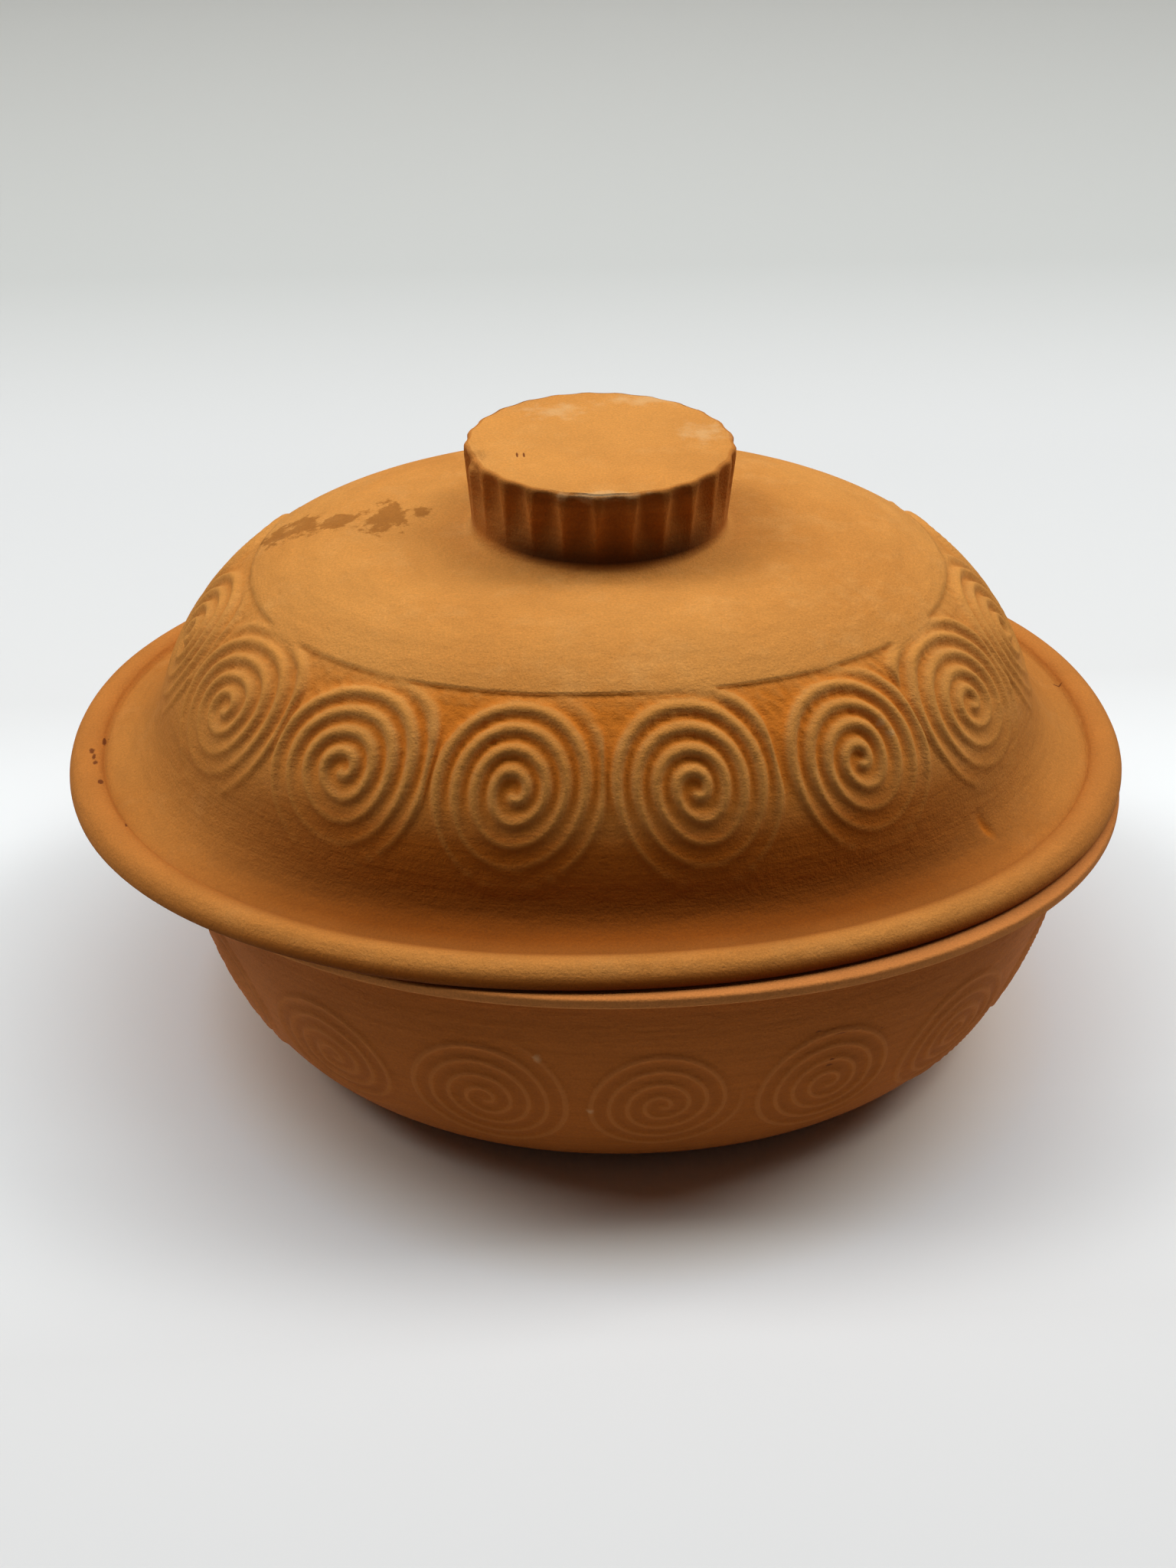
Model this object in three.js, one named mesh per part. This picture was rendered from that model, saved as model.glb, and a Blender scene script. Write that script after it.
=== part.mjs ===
// Clay baker: an oval bowl of fired clay under a loose domed lid with a fluted knob and carved coils.
// Millimetres, +Z up, +X along the length. The origin is the middle of the base's flat foot.
import * as THREE from 'three';

// Base: a bowl with a thin flange round its mouth
const BASE_LENGTH = 309.2;
const BASE_WIDTH = 252;
const BASE_HEIGHT = 88;
const BASE_WALL = 8;
const BASE_FLOOR = 9;
const BASE_FLANGE_THICKNESS = 3.5;
const BASE_FLANGE_EDGE = 0.9; // rounding of the flange's two edges
const BASE_FLANGE_AT_ENDS = 15.1; // how far the flange stands out past the bowl
const BASE_FLANGE_AT_SIDES = 8.5;
const BASE_FLARE = 12; // height of the hollow curve under the flange
const FOOT_LENGTH = 164;
const FOOT_WIDTH = 146;

// Lid: a dome with a broad rim, and a knob moulded in one with it
const LID_LENGTH = 332.2;
const LID_WIDTH = 267.5;
const LID_WALL = 8;
const LID_RIM_THICKNESS = 7.8;
const LID_RIM_ROUNDING = 6; // rounding of the rim's upper edge, the rest rounds its lower one
const LID_RIM_AT_ENDS = 27.1;
const LID_RIM_AT_SIDES = 21.5;
const LID_RIM_GROOVE = 1.7; // depth of the shallow ring between the rim's bead and the dome
const DOME_HEIGHT = 75.3; // seat to crown
const KNOB_DIAMETER = 81;
const KNOB_HEIGHT = 26.5; // crown to the knob's top
const KNOB_WALL = 9;
const KNOB_EDGE = 1.4; // rounding of the knob's top edge
const KNOB_FILLET = 3;
const FLUTE_COUNT = 25;
const FLUTE_DEPTH = 2.1;
const FLUTE_TURN = -95.6; // degrees from +X to one ridge
const FLUTE_AT_EDGE = 0.25; // share of the depth left at the knob's top edge
const FLUTE_FULL = 0.16; // shares of the knob's height: down to full depth, to the fading, to the end
const FLUTE_FADE = 0.3;
const FLUTE_END = 0.9;

// Band of coils round the dome: raised spirals on a ground cut back from the panel above them
const COIL_COUNT = 15;
const COIL_FIRST = -104.2; // degrees from +X to the middle of the first coil
const COIL_SWAY = 0.057; // how far the coils in front spread and those behind close up, in fields
const COIL_RING = 0.868; // where their middles lie, as a share of the way from crown to dome foot
const COIL_PITCH = 5.25;
const COIL_START = 0.6; // turns
const COIL_TURNS = 3.6;
const COIL_STRETCH_UP = 1.16;
const COIL_STRETCH_DOWN = 1.22;
const COIL_RISE = 1.9; // height of the line above the ground, at the top of the band
const COIL_LOW_RISE = 0.55; // the same near the rim
const COIL_MARGIN = 0.9; // plain ground kept between a coil and the borders of its field
const BAND_TOP = 28.2; // the band's border above the coils' middles
const BAND_FOOT = 0.95; // its lower border, as a share of the way from the coils' middles to the dome's end
const BAND_STEP = 1.4; // how far the ground is cut back under the panel
const BAND_STEP_RUN = 0.9;
const GROUND_FADE = { from: -18, to: 6 }; // heights between which the ground drops to its full depth
const LINE_FADE = { from: -24, to: 4 }; // heights between which the line rises to its full height

// How the lid lies on the base: rim on rim with no locating lip, set a little off the middle
const SEAT_GAP = 0.3;
const LID_OFFSET_X = -8.3;
const LID_OFFSET_Y = 10.9;

// Curves: exponents of the ovals, and of the dome's and the bowl's sections
const RIM_FULLNESS = 2.11;
const DOME_CURVE = { across: 3.1, up: 1.75 };
const BOWL_CURVE = { across: 3, up: 1.55 };
const DOME_END = 0.985; // where the dome's section gives way to the hollow curve above the rim
const RIM_BEND = 0.88; // shares of the way from the rim's edge to the dome's foot
const RIM_SHELF = 0.5;
const RIM_GROOVE = 0.42;
const FLANGE_ROOT = 0.6; // share of the flange's width that is flat underneath
const MOUTH_EDGE = 3; // rounding inside both mouths

// Facets round each ring, and along and beside the coils
const STEPS_PER_FLUTE = 4;
const STEPS_PER_COIL_FIELD = 5;
const STEPS_PER_COIL_TURN = 12;
const SIDE_STEPS = 6;
const OUTER_STEPS = COIL_COUNT * STEPS_PER_COIL_FIELD;
const INNER_STEPS = 52;
const MEASURING_STEPS = 96;
const NUDGE = 0.002; // step for measuring slopes

const CIRCLE = 2; // the exponent of a plain ellipse
const TURN = 2 * Math.PI;

const mix = (from, to, share) => from + (to - from) * share;

// An S-curve from 0 at low to 1 at high.
const smooth = (low, high, value) => THREE.MathUtils.smoothstep(value, low, high);

// A ring is a level oval given by its half length, half width, height and fullness.
const oval = (a, b, z, fullness = RIM_FULLNESS) => ({ a, b, z, fullness });

// The oval an even distance inside another one, at its own height.
const inside = (ring, distance, z) => oval(ring.a - distance, ring.b - distance, z, ring.fullness);

// The oval part of the way from one ring to the next.
const between = (first, last, share, z) => oval(
  mix(first.a, last.a, share),
  mix(first.b, last.b, share),
  z,
  mix(first.fullness, last.fullness, share),
);

// Rings along a curve that leaves the first ring towards the bend and arrives at the last from it.
function sweepCorner(first, bend, last, count) {
  const rings = [];
  for (let i = 1; i < count; i += 1) {
    const t = i / count;
    const near = between(first, bend, t, mix(first.z, bend.z, t));
    const far = between(bend, last, t, mix(bend.z, last.z, t));
    rings.push(between(near, far, t, mix(near.z, far.z, t)));
  }
  return rings;
}

// Rings round an edge, from one angle of the quarter or half circle to another, in degrees above level.
function roundEdge(outer, middleZ, radius, from, to, count) {
  const rings = [];
  for (let i = 0; i <= count; i += 1) {
    const angle = THREE.MathUtils.degToRad(mix(from, to, i / count));
    const inset = radius * (1 - Math.cos(angle));
    rings.push(inside(outer, inset, middleZ + radius * Math.sin(angle)));
  }
  return rings;
}

// The point of an oval ring at an angle.
function ovalPoint(ring, angle) {
  const c = Math.cos(angle);
  const s = Math.sin(angle);
  const reach = (Math.abs(c) ** ring.fullness + Math.abs(s) ** ring.fullness) ** (-1 / ring.fullness);
  return new THREE.Vector3(ring.a * reach * c, ring.b * reach * s, ring.z);
}

// Evenly spaced numbers from one to another, both included.
const spaced = (from, to, count) => Array.from({ length: count + 1 }, (_, i) => mix(from, to, i / count));

// The points of an oval ring, anticlockwise seen from above.
const ovalPoints = (ring, steps) => spaced(0, TURN, steps).slice(0, -1).map((angle) => ovalPoint(ring, angle));

// The points of a round ring with hollow flutes between narrow ridges.
function flutedPoints(radius, depth, z) {
  const steps = FLUTE_COUNT * STEPS_PER_FLUTE;
  const start = THREE.MathUtils.degToRad(FLUTE_TURN);
  const first = Math.ceil((-start / TURN) * steps);
  const points = [];
  for (let i = first; i < first + steps; i += 1) {
    const angle = start + (TURN * i) / steps;
    const across = (2 * THREE.MathUtils.euclideanModulo(i, STEPS_PER_FLUTE)) / STEPS_PER_FLUTE - 1;
    const r = radius - depth * (1 - across ** 2);
    points.push(new THREE.Vector3(r * Math.cos(angle), r * Math.sin(angle), z));
  }
  return points;
}

const pole = (z) => [new THREE.Vector3(0, 0, z)];

// The length run along a row of points, up to each of them.
function runs(points) {
  const lengths = [0];
  for (let i = 1; i < points.length; i += 1) {
    lengths.push(lengths[i - 1] + points[i].distanceTo(points[i - 1]));
  }
  return lengths;
}

// Reads a table at a value of its rising first column.
function readTable(rising, values, at) {
  let i = 1;
  while (i < rising.length - 1 && rising[i] < at) i += 1;
  const share = THREE.MathUtils.clamp((at - rising[i - 1]) / (rising[i] - rising[i - 1]), 0, 1);
  return mix(values[i - 1], values[i], share);
}

// A skin is a list of points and the triangles between them. Adding points gives their numbers.
function addPoints(skin, points) {
  const first = skin.positions.length / 3;
  for (const point of points) skin.positions.push(point.x, point.y, point.z);
  return points.map((_, i) => first + i);
}

// Triangles between two rings that start at about the same angle, the upper or inner one first.
function joinRings(skin, upper, lower) {
  const upperSteps = upper.length > 1 ? upper.length : 0;
  const lowerSteps = lower.length > 1 ? lower.length : 0;
  let i = 0;
  let j = 0;
  while (i < upperSteps || j < lowerSteps) {
    const a = upper[i % upper.length];
    const b = lower[j % lower.length];
    const alongLower = i >= upperSteps || (j < lowerSteps && (j + 0.5) / lowerSteps <= (i + 0.5) / upperSteps);
    if (alongLower) {
      j += 1;
      skin.triangles.push(a, b, lower[j % lower.length]);
    } else {
      i += 1;
      skin.triangles.push(a, b, upper[i % upper.length]);
    }
  }
}

// Adds rows of points and joins each to the next. Gives the first and the last row's numbers.
function addRows(skin, rows) {
  const rings = rows.map((row) => addPoints(skin, row));
  for (let k = 0; k + 1 < rings.length; k += 1) joinRings(skin, rings[k], rings[k + 1]);
  return { first: rings[0], last: rings[rings.length - 1] };
}

function skinGeometry(skin) {
  const geometry = new THREE.BufferGeometry();
  geometry.setAttribute('position', new THREE.Float32BufferAttribute(skin.positions, 3));
  geometry.setIndex(skin.triangles);
  geometry.computeVertexNormals();
  return geometry;
}

// Share of the height reached at a share of the way out, on a flat-topped dome section.
const domeShare = (out, curve) => (1 - out ** curve.across) ** (1 / curve.up);

// Lays flat drawings on the dome. Place counts fields round it, with the coils' middles at whole numbers.
// Up is the distance from the coils' middles along the dome's section. Height stands off the dome.
function domeChart(dome) {
  const angles = spaced(0, TURN, MEASURING_STEPS);
  const outs = spaced(0, DOME_END, MEASURING_STEPS);
  const girthRuns = runs(angles.map((angle) => ovalPoint(dome(COIL_RING), angle)));
  const girth = girthRuns[MEASURING_STEPS];
  const firstAngle = THREE.MathUtils.euclideanModulo(THREE.MathUtils.degToRad(COIL_FIRST), TURN);
  const firstRun = readTable(angles, girthRuns, firstAngle);
  const angleAt = (place) => {
    let even = place;
    for (let i = 0; i < 4; i += 1) even = place + COIL_SWAY * Math.sin((even * TURN) / COIL_COUNT);
    const run = firstRun + (even / COIL_COUNT) * girth;
    return readTable(girthRuns, angles, THREE.MathUtils.euclideanModulo(run, girth));
  };
  const falls = (angle) => runs(outs.map((out) => ovalPoint(dome(out), angle)));
  const outAt = (angle, up) => {
    const fall = falls(angle);
    return readTable(fall, outs, readTable(outs, fall, COIL_RING) - up);
  };
  const sideFall = falls(TURN / 4);
  const footUp = BAND_FOOT * (readTable(outs, sideFall, COIL_RING) - sideFall[MEASURING_STEPS]);
  const lay = (place, up, height) => {
    const angle = angleAt(place);
    const out = outAt(angle, up);
    const point = ovalPoint(dome(out), angle);
    const along = ovalPoint(dome(out), angle + NUDGE).sub(point);
    const down = point.clone().sub(ovalPoint(dome(out - NUDGE), angle));
    return point.add(down.cross(along).normalize().multiplyScalar(height));
  };
  const fieldWidth = (coil, up) => {
    const ring = dome(outAt(angleAt(coil), up));
    return runs(angles.map((angle) => ovalPoint(ring, angle)))[MEASURING_STEPS] / COIL_COUNT;
  };
  return { lay, fieldWidth, footUp, topUp: BAND_TOP - BAND_STEP_RUN };
}

// Height of the band's cut-back ground, and of a coil's line on it.
const groundAt = (up) => -BAND_STEP * smooth(GROUND_FADE.from, GROUND_FADE.to, up);
const lineAt = (up) => groundAt(up) + mix(COIL_LOW_RISE, COIL_RISE, smooth(LINE_FADE.from, LINE_FADE.to, up));

// The flat drawing of one coil: points along its line and along the valley beside it, innermost first.
// A turn that would reach past the borders of its field is drawn in to fit.
function coilDrawing(chart, coil) {
  const point = (wound, beside, height) => {
    const side = Math.cos(wound * TURN);
    const rise = Math.sin(wound * TURN) * (Math.sin(wound * TURN) > 0 ? COIL_STRETCH_UP : COIL_STRETCH_DOWN);
    const room = Math.min(
      (chart.fieldWidth(coil, 0) / 2 - COIL_MARGIN) / Math.abs(side),
      ((rise > 0 ? chart.topUp : -chart.footUp) - COIL_MARGIN) / Math.abs(rise),
    );
    const shrink = Math.min(1, room / (COIL_PITCH * (wound + COIL_START + 0.5)));
    const reach = shrink * COIL_PITCH * (wound + COIL_START + beside);
    const up = reach * rise;
    return { across: (reach * side) / chart.fieldWidth(coil, up), up, height: height(up) };
  };
  const count = Math.round(COIL_TURNS * STEPS_PER_COIL_TURN);
  const line = spaced(0, count / STEPS_PER_COIL_TURN, count).map((wound) => point(wound, 0, lineAt));
  const valley = spaced(-1, count / STEPS_PER_COIL_TURN, count + STEPS_PER_COIL_TURN)
    .map((wound) => point(wound, 0.5, groundAt));
  return { line, valley };
}

// Triangles of a flat drawing with a hole, turned so that they face outwards. Each point keeps its number.
function fillDrawing(skin, contour, hole, fieldWidth) {
  const flat = (point) => new THREE.Vector2(point.across * fieldWidth, point.up);
  const all = [...contour, ...hole];
  const faces = THREE.ShapeUtils.triangulateShape(contour.map(flat), hole.length ? [hole.map(flat)] : []);
  for (const [i, j, k] of faces) {
    const facing = THREE.ShapeUtils.area([i, j, k].map((n) => flat(all[n]))) > 0;
    skin.triangles.push(...(facing ? [i, j, k] : [i, k, j]).map((n) => all[n].number));
  }
}

// Adds the band of coils. Gives the numbers of its top and foot rings, each from about +X round.
function addCoils(skin, dome) {
  const chart = domeChart(dome);
  const { footUp, topUp } = chart;
  const number = (coil, points) => {
    const numbers = addPoints(skin, points.map((p) => chart.lay(coil + p.across, p.up, p.height)));
    return points.map((p, i) => ({ ...p, number: numbers[i] }));
  };
  const edgeRing = (up, height) => {
    const places = spaced(-0.5, COIL_COUNT - 0.5, OUTER_STEPS).slice(0, -1);
    return addPoints(skin, places.map((place) => chart.lay(place, up, height)));
  };
  const panelEdge = edgeRing(BAND_TOP, 0);
  const top = edgeRing(topUp, groundAt(topUp));
  const foot = edgeRing(footUp, 0);
  const sideUps = spaced(footUp, topUp, SIDE_STEPS).slice(1, -1);
  const sides = [];
  for (let coil = 0; coil < COIL_COUNT; coil += 1) {
    sides.push(number(coil, sideUps.map((up) => ({ across: -0.5, up, height: groundAt(up) }))));
  }
  for (let coil = 0; coil < COIL_COUNT; coil += 1) {
    const across = spaced(-0.5, 0.5, STEPS_PER_COIL_FIELD);
    const edge = (ring, up) => across.map((share, i) => (
      { across: share, up, number: ring[(coil * STEPS_PER_COIL_FIELD + i) % OUTER_STEPS] }
    ));
    const right = sides[(coil + 1) % COIL_COUNT].map((p) => ({ ...p, across: 0.5 }));
    const left = [...sides[coil]].reverse();
    const drawing = coilDrawing(chart, coil);
    const line = number(coil, drawing.line);
    const valley = number(coil, drawing.valley);
    const last = line.length - 1;
    for (let i = 0; i < last; i += 1) {
      const out = i + STEPS_PER_COIL_TURN;
      const [a, b] = [line[i].number, line[i + 1].number];
      skin.triangles.push(valley[i].number, a, b, valley[i].number, b, valley[i + 1].number);
      skin.triangles.push(a, valley[out].number, valley[out + 1].number, a, valley[out + 1].number, b);
    }
    const width = chart.fieldWidth(coil, 0);
    fillDrawing(skin, [...valley.slice(0, STEPS_PER_COIL_TURN + 1), line[0]], [], width);
    const field = [...edge(foot, footUp), ...right, ...edge(top, topUp).reverse(), ...left];
    fillDrawing(skin, field, [...valley.slice(last), line[last]], width);
  }
  const angleOf = (n) => Math.abs(Math.atan2(skin.positions[3 * n + 1], skin.positions[3 * n]));
  const fromX = (ring) => {
    const start = ring.reduce((best, n, i) => (angleOf(n) < angleOf(ring[best]) ? i : best), 0);
    return [...ring.slice(start), ...ring.slice(0, start)];
  };
  joinRings(skin, panelEdge, top);
  return { top: fromX(panelEdge), foot: fromX(foot) };
}

function lidGeometry() {
  const footRounding = LID_RIM_THICKNESS - LID_RIM_ROUNDING;
  const knobRadius = KNOB_DIAMETER / 2;
  const lidTop = DOME_HEIGHT + KNOB_HEIGHT;
  const rim = oval(LID_LENGTH / 2, LID_WIDTH / 2, footRounding);
  const domeFootZ = LID_RIM_THICKNESS / 2;
  const domeFoot = oval(rim.a - LID_RIM_AT_ENDS, rim.b - LID_RIM_AT_SIDES, domeFootZ);
  const crown = oval(knobRadius, knobRadius, DOME_HEIGHT, CIRCLE);
  const dome = (out) => between(crown, domeFoot, out, mix(domeFootZ, DOME_HEIGHT, domeShare(out, DOME_CURVE)));
  const skin = { positions: [], triangles: [] };

  // Knob: flat top, rounded shoulder, and flutes that begin below it and fade out towards the dome
  const filletTop = DOME_HEIGHT + KNOB_FILLET;
  const fluteDepth = (z) => {
    const drop = (lidTop - z) / KNOB_HEIGHT;
    const begun = mix(FLUTE_AT_EDGE, 1, smooth(0, FLUTE_FULL, drop));
    return FLUTE_DEPTH * begun * (1 - smooth(FLUTE_FADE, FLUTE_END, drop));
  };
  const shoulder = oval(knobRadius, knobRadius, lidTop - KNOB_EDGE, CIRCLE);
  const knobRings = [
    ...roundEdge(shoulder, shoulder.z, KNOB_EDGE, 90, 0, 3),
    ...[0.25, 0.5, 0.8, 1].map((share) => inside(shoulder, 0, mix(shoulder.z, filletTop, share))),
  ];
  const filletFoot = dome(KNOB_FILLET / (domeFoot.b - knobRadius));
  const fillet = sweepCorner(knobRings[knobRings.length - 1], crown, filletFoot, 3);
  const panel = [...fillet, filletFoot, ...[0.25, 0.4, 0.52].map(dome)];
  const above = addRows(skin, [
    pole(lidTop),
    ...knobRings.map((ring) => flutedPoints(ring.a, fluteDepth(ring.z), ring.z)),
    ...panel.map((ring) => ovalPoints(ring, OUTER_STEPS)),
  ]);

  // Rim: hollow curve, shallow groove, and the bead with its rounded edge
  const grooveZ = LID_RIM_THICKNESS - LID_RIM_GROOVE;
  const shelfZ = mix(grooveZ, LID_RIM_THICKNESS, 0.5);
  const domeEnd = dome(DOME_END);
  const shelf = between(rim, domeFoot, RIM_SHELF, shelfZ);
  const bend = between(rim, domeFoot, RIM_BEND, shelfZ);
  const groove = between(rim, domeFoot, RIM_GROOVE, grooveZ);
  const edge = [
    ...roundEdge(rim, rim.z, LID_RIM_ROUNDING, 90, 0, 4),
    ...roundEdge(rim, rim.z, footRounding, -45, -90, 1),
  ];

  // Underside: flat seat, mouth, inner dome and the hollow of the knob
  const mouth = inside(domeFoot, LID_WALL, MOUTH_EDGE);
  const innerCrown = DOME_HEIGHT - LID_WALL;
  const innerZ = (out) => mix(MOUTH_EDGE, innerCrown, domeShare(out, DOME_CURVE));
  const innerDome = (out) => between(crown, mouth, out, innerZ(out));
  const hollow = knobRadius - KNOB_WALL;
  const hollowTop = lidTop - KNOB_WALL;
  const hollowRing = (radius, z) => oval(radius, radius, z, CIRCLE);
  const inner = [
    inside(mouth, -MOUTH_EDGE, 0),
    mouth,
    ...[0.97, 0.92, 0.85, 0.74, 0.6, 0.4, 0.15].map(innerDome),
    hollowRing(hollow + MOUTH_EDGE, innerCrown),
    hollowRing(hollow, innerCrown + MOUTH_EDGE),
    hollowRing(hollow, hollowTop - MOUTH_EDGE),
    hollowRing(hollow - MOUTH_EDGE, hollowTop),
  ];
  const outer = [domeEnd, ...sweepCorner(domeEnd, bend, shelf, 4), shelf, groove, ...edge];
  const below = addRows(skin, [
    ...outer.map((ring) => ovalPoints(ring, OUTER_STEPS)),
    ...inner.map((ring) => ovalPoints(ring, INNER_STEPS)),
    pole(hollowTop),
  ]);

  const band = addCoils(skin, dome);
  joinRings(skin, above.last, band.top);
  joinRings(skin, band.foot, below.first);
  return skinGeometry(skin);
}

function baseGeometry() {
  const rim = oval(BASE_LENGTH / 2, BASE_WIDTH / 2, BASE_HEIGHT);
  const flangeZ = BASE_HEIGHT - BASE_FLANGE_THICKNESS;
  const wallTop = oval(rim.a - BASE_FLANGE_AT_ENDS, rim.b - BASE_FLANGE_AT_SIDES, flangeZ - BASE_FLARE);
  const foot = oval(FOOT_LENGTH / 2, FOOT_WIDTH / 2, 0, CIRCLE);
  const bowl = (out) => between(foot, wallTop, out, wallTop.z * (1 - domeShare(out, BOWL_CURVE)));

  // Inside: floor, curved wall and mouth
  const innerFoot = inside(foot, BASE_WALL, BASE_FLOOR);
  const innerTop = inside(wallTop, BASE_WALL, wallTop.z);
  const innerBowl = (out) => between(
    innerFoot,
    innerTop,
    out,
    mix(innerTop.z, BASE_FLOOR, domeShare(out, BOWL_CURVE)),
  );
  const inner = [
    innerFoot,
    ...[0.35, 0.55, 0.7, 0.82, 0.91, 0.97].map(innerBowl),
    innerTop,
    inside(innerTop, 0, BASE_HEIGHT - MOUTH_EDGE),
    inside(innerTop, -MOUTH_EDGE, BASE_HEIGHT),
  ];

  // Outside: flat seat, flange with rounded edges, hollow curve under it, wall and foot
  const lip = [
    ...roundEdge(rim, BASE_HEIGHT - BASE_FLANGE_EDGE, BASE_FLANGE_EDGE, 90, 0, 2),
    ...roundEdge(rim, flangeZ + BASE_FLANGE_EDGE, BASE_FLANGE_EDGE, 0, -90, 2),
  ];
  const flangeRoot = between(rim, wallTop, FLANGE_ROOT, flangeZ);
  const bend = oval(wallTop.a, wallTop.b, flangeZ);
  const wallUnderFlare = oval(wallTop.a, wallTop.b, flangeZ - BASE_FLARE / 2);
  const outer = [
    ...lip,
    flangeRoot,
    ...sweepCorner(flangeRoot, bend, wallUnderFlare, 3),
    wallUnderFlare,
    wallTop,
    ...[0.97, 0.92, 0.86, 0.78, 0.68, 0.55, 0.38].map(bowl),
    foot,
  ];

  const skin = { positions: [], triangles: [] };
  addRows(skin, [
    pole(BASE_FLOOR),
    ...inner.map((ring) => ovalPoints(ring, INNER_STEPS)),
    ...outer.map((ring) => ovalPoints(ring, OUTER_STEPS)),
    pole(0),
  ]);
  return skinGeometry(skin);
}

function clay(color) {
  return new THREE.MeshStandardMaterial({ color, roughness: 0.92, metalness: 0 });
}

const base = new THREE.Mesh(baseGeometry(), clay(0xa5623a));
base.name = 'base';

const lid = new THREE.Mesh(lidGeometry(), clay(0xc07a42));
lid.name = 'lid';
lid.position.set(LID_OFFSET_X, LID_OFFSET_Y, BASE_HEIGHT + SEAT_GAP);

const baker = new THREE.Group();
baker.add(base, lid);

export default baker;
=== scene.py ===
"""A clay baker: an oval bowl of fired clay under a loose domed lid with a fluted knob and carved coils."""

import math

import bpy
import numpy as np
from mathutils import Matrix, Vector


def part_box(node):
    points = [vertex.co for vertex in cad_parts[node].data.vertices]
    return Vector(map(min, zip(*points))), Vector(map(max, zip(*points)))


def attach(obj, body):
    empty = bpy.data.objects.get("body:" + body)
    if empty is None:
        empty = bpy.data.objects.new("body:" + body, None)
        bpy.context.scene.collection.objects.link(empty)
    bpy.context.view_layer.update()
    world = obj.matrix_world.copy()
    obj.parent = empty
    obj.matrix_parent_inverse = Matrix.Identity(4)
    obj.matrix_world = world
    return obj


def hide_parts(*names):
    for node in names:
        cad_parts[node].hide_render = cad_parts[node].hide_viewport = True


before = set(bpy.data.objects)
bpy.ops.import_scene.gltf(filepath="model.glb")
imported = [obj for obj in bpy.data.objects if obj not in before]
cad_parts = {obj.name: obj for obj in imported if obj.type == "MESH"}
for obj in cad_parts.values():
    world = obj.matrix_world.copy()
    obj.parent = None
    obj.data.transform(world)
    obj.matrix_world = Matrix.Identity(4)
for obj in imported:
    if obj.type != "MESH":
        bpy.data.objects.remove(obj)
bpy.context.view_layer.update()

MM = 0.001
TURN = 2 * math.pi

# Points round a ring: the carved bands, the plain outsides, the insides
FINE = 1024
PLAIN = 512
INSIDE = 256

# A ring is its half length, half width and height in millimetres, and its fullness: 2 is an ellipse.
# Rows are how many rings a stretch has, or where they lie as shares of its way
RIM_FULLNESS = 2.11
ROUND = 2.0
SECTION_SAMPLES = 400

# Bevel of the mouths and of the hollow in the knob, in millimetres
MOUTH_EDGE = 3.0

# Knob, in millimetres above the middle of the lid's seat
KNOB_RADIUS = 40.5
KNOB_TOP = 101.8
KNOB_TOP_ROWS = np.array([0.1, 0.25, 0.42, 0.6, 0.76, 0.86, 0.92, 0.97, 0.994])
KNOB_EDGE = 1.4
KNOB_EDGE_ROWS = 6
KNOB_SIDE_ROWS = 13
KNOB_FILLET = 3.0
KNOB_FILLET_REACH = 0.3
KNOB_FILLET_STEPS = 5
KNOB_TAPER = 1.8
KNOB_SET_BACK = 2.4
KNOB_SET_BACK_RISE = 4.0
KNOB_HOLLOW = 31.5
KNOB_HOLLOW_TOP = 92.8
FLUTES = 25
FLUTE_DEPTH = 2.1
FLUTE_TOP_SHARE = 0.25
FLUTE_DEEPENS = (0.0, 0.16)
FLUTE_RUNS_OUT = (0.3, 0.9)
FLUTE_TOP_POWER = 12
FLUTE_TURN = math.radians(-95.6)
RIDGE_SHARE = 0.2
RIDGE_LEAST = 0.03
RIDGE_NARROWS = (0.0, 0.7)
CRACK_STEP = np.array([0.25, 0.25, -0.15, 0])
CRACK_DEPTH = 0.7
CRACK_OPENS = (-0.4, 0.1)
CRACK_WAVE = 30.0
CRACK_SEED = 4
CHIP = np.array([-38.2, -7.5, 101.4])
CHIP_SIZE = np.array([3.0, 3.8, 3.2])
CHIP_IN = np.array([0.045, 0.045, 0])
CHIP_DOWN = np.array([0, 0, 1.6])

# Lid, in millimetres above the middle of its seat
LID_RIM = np.array([166.1, 133.75, 1.8, RIM_FULLNESS])
LID_RIM_TOP_RADIUS = 6.0
LID_RIM_FOOT_RADIUS = 1.8
LID_RIM_TOP_ROWS = 9
LID_RIM_FOOT_ROWS = 5
DOME_FOOT = np.array([139, 112.25, 3.9, RIM_FULLNESS])
CROWN = np.array([KNOB_RADIUS, KNOB_RADIUS, 75.3, ROUND])
DOME_CURVE = (3.1, 1.75)
PANEL_ROWS = [0.14, 0.2, 0.27, 0.34, 0.41, 0.47, 0.53, 0.57]
BAND_OUT = (0.605, 0.965)
DOME_ROWS = 52
SIDE_ROWS = [0.972, 0.979, 0.985]
HOLLOW_ROWS = 12
SIDE_HOLLOW = (0.97, 0.6)
END_HOLLOW = (0.92, 0.46)
HOLLOW_BEND_Z = 7.2
HOLLOW_FOOT_Z = 6.6
RIM_CREASE = 0.42
RIM_CREASE_Z = 6.2
RIM_CREASE_DEPTH = 0.8
RIM_SWELL = 0.36
RIM_SWELL_Z = 7.8
RIM_SWELL_STEPS = 5
LID_MOUTH = np.array([131, 104.25, 3, RIM_FULLNESS])
LID_INNER_CROWN = np.array([KNOB_RADIUS, KNOB_RADIUS, 67.3, ROUND])
LID_INNER_ROWS = [1, 0.985, 0.96, 0.91, 0.84, 0.74, 0.6, 0.4, 0.15]
DENT = np.array([107.0, -78.0, 12.0])
DENT_WAY = np.array([0.48, -0.06, -0.87])
DENT_LENGTH = 5.0
DENT_WIDTH = 1.5
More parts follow.
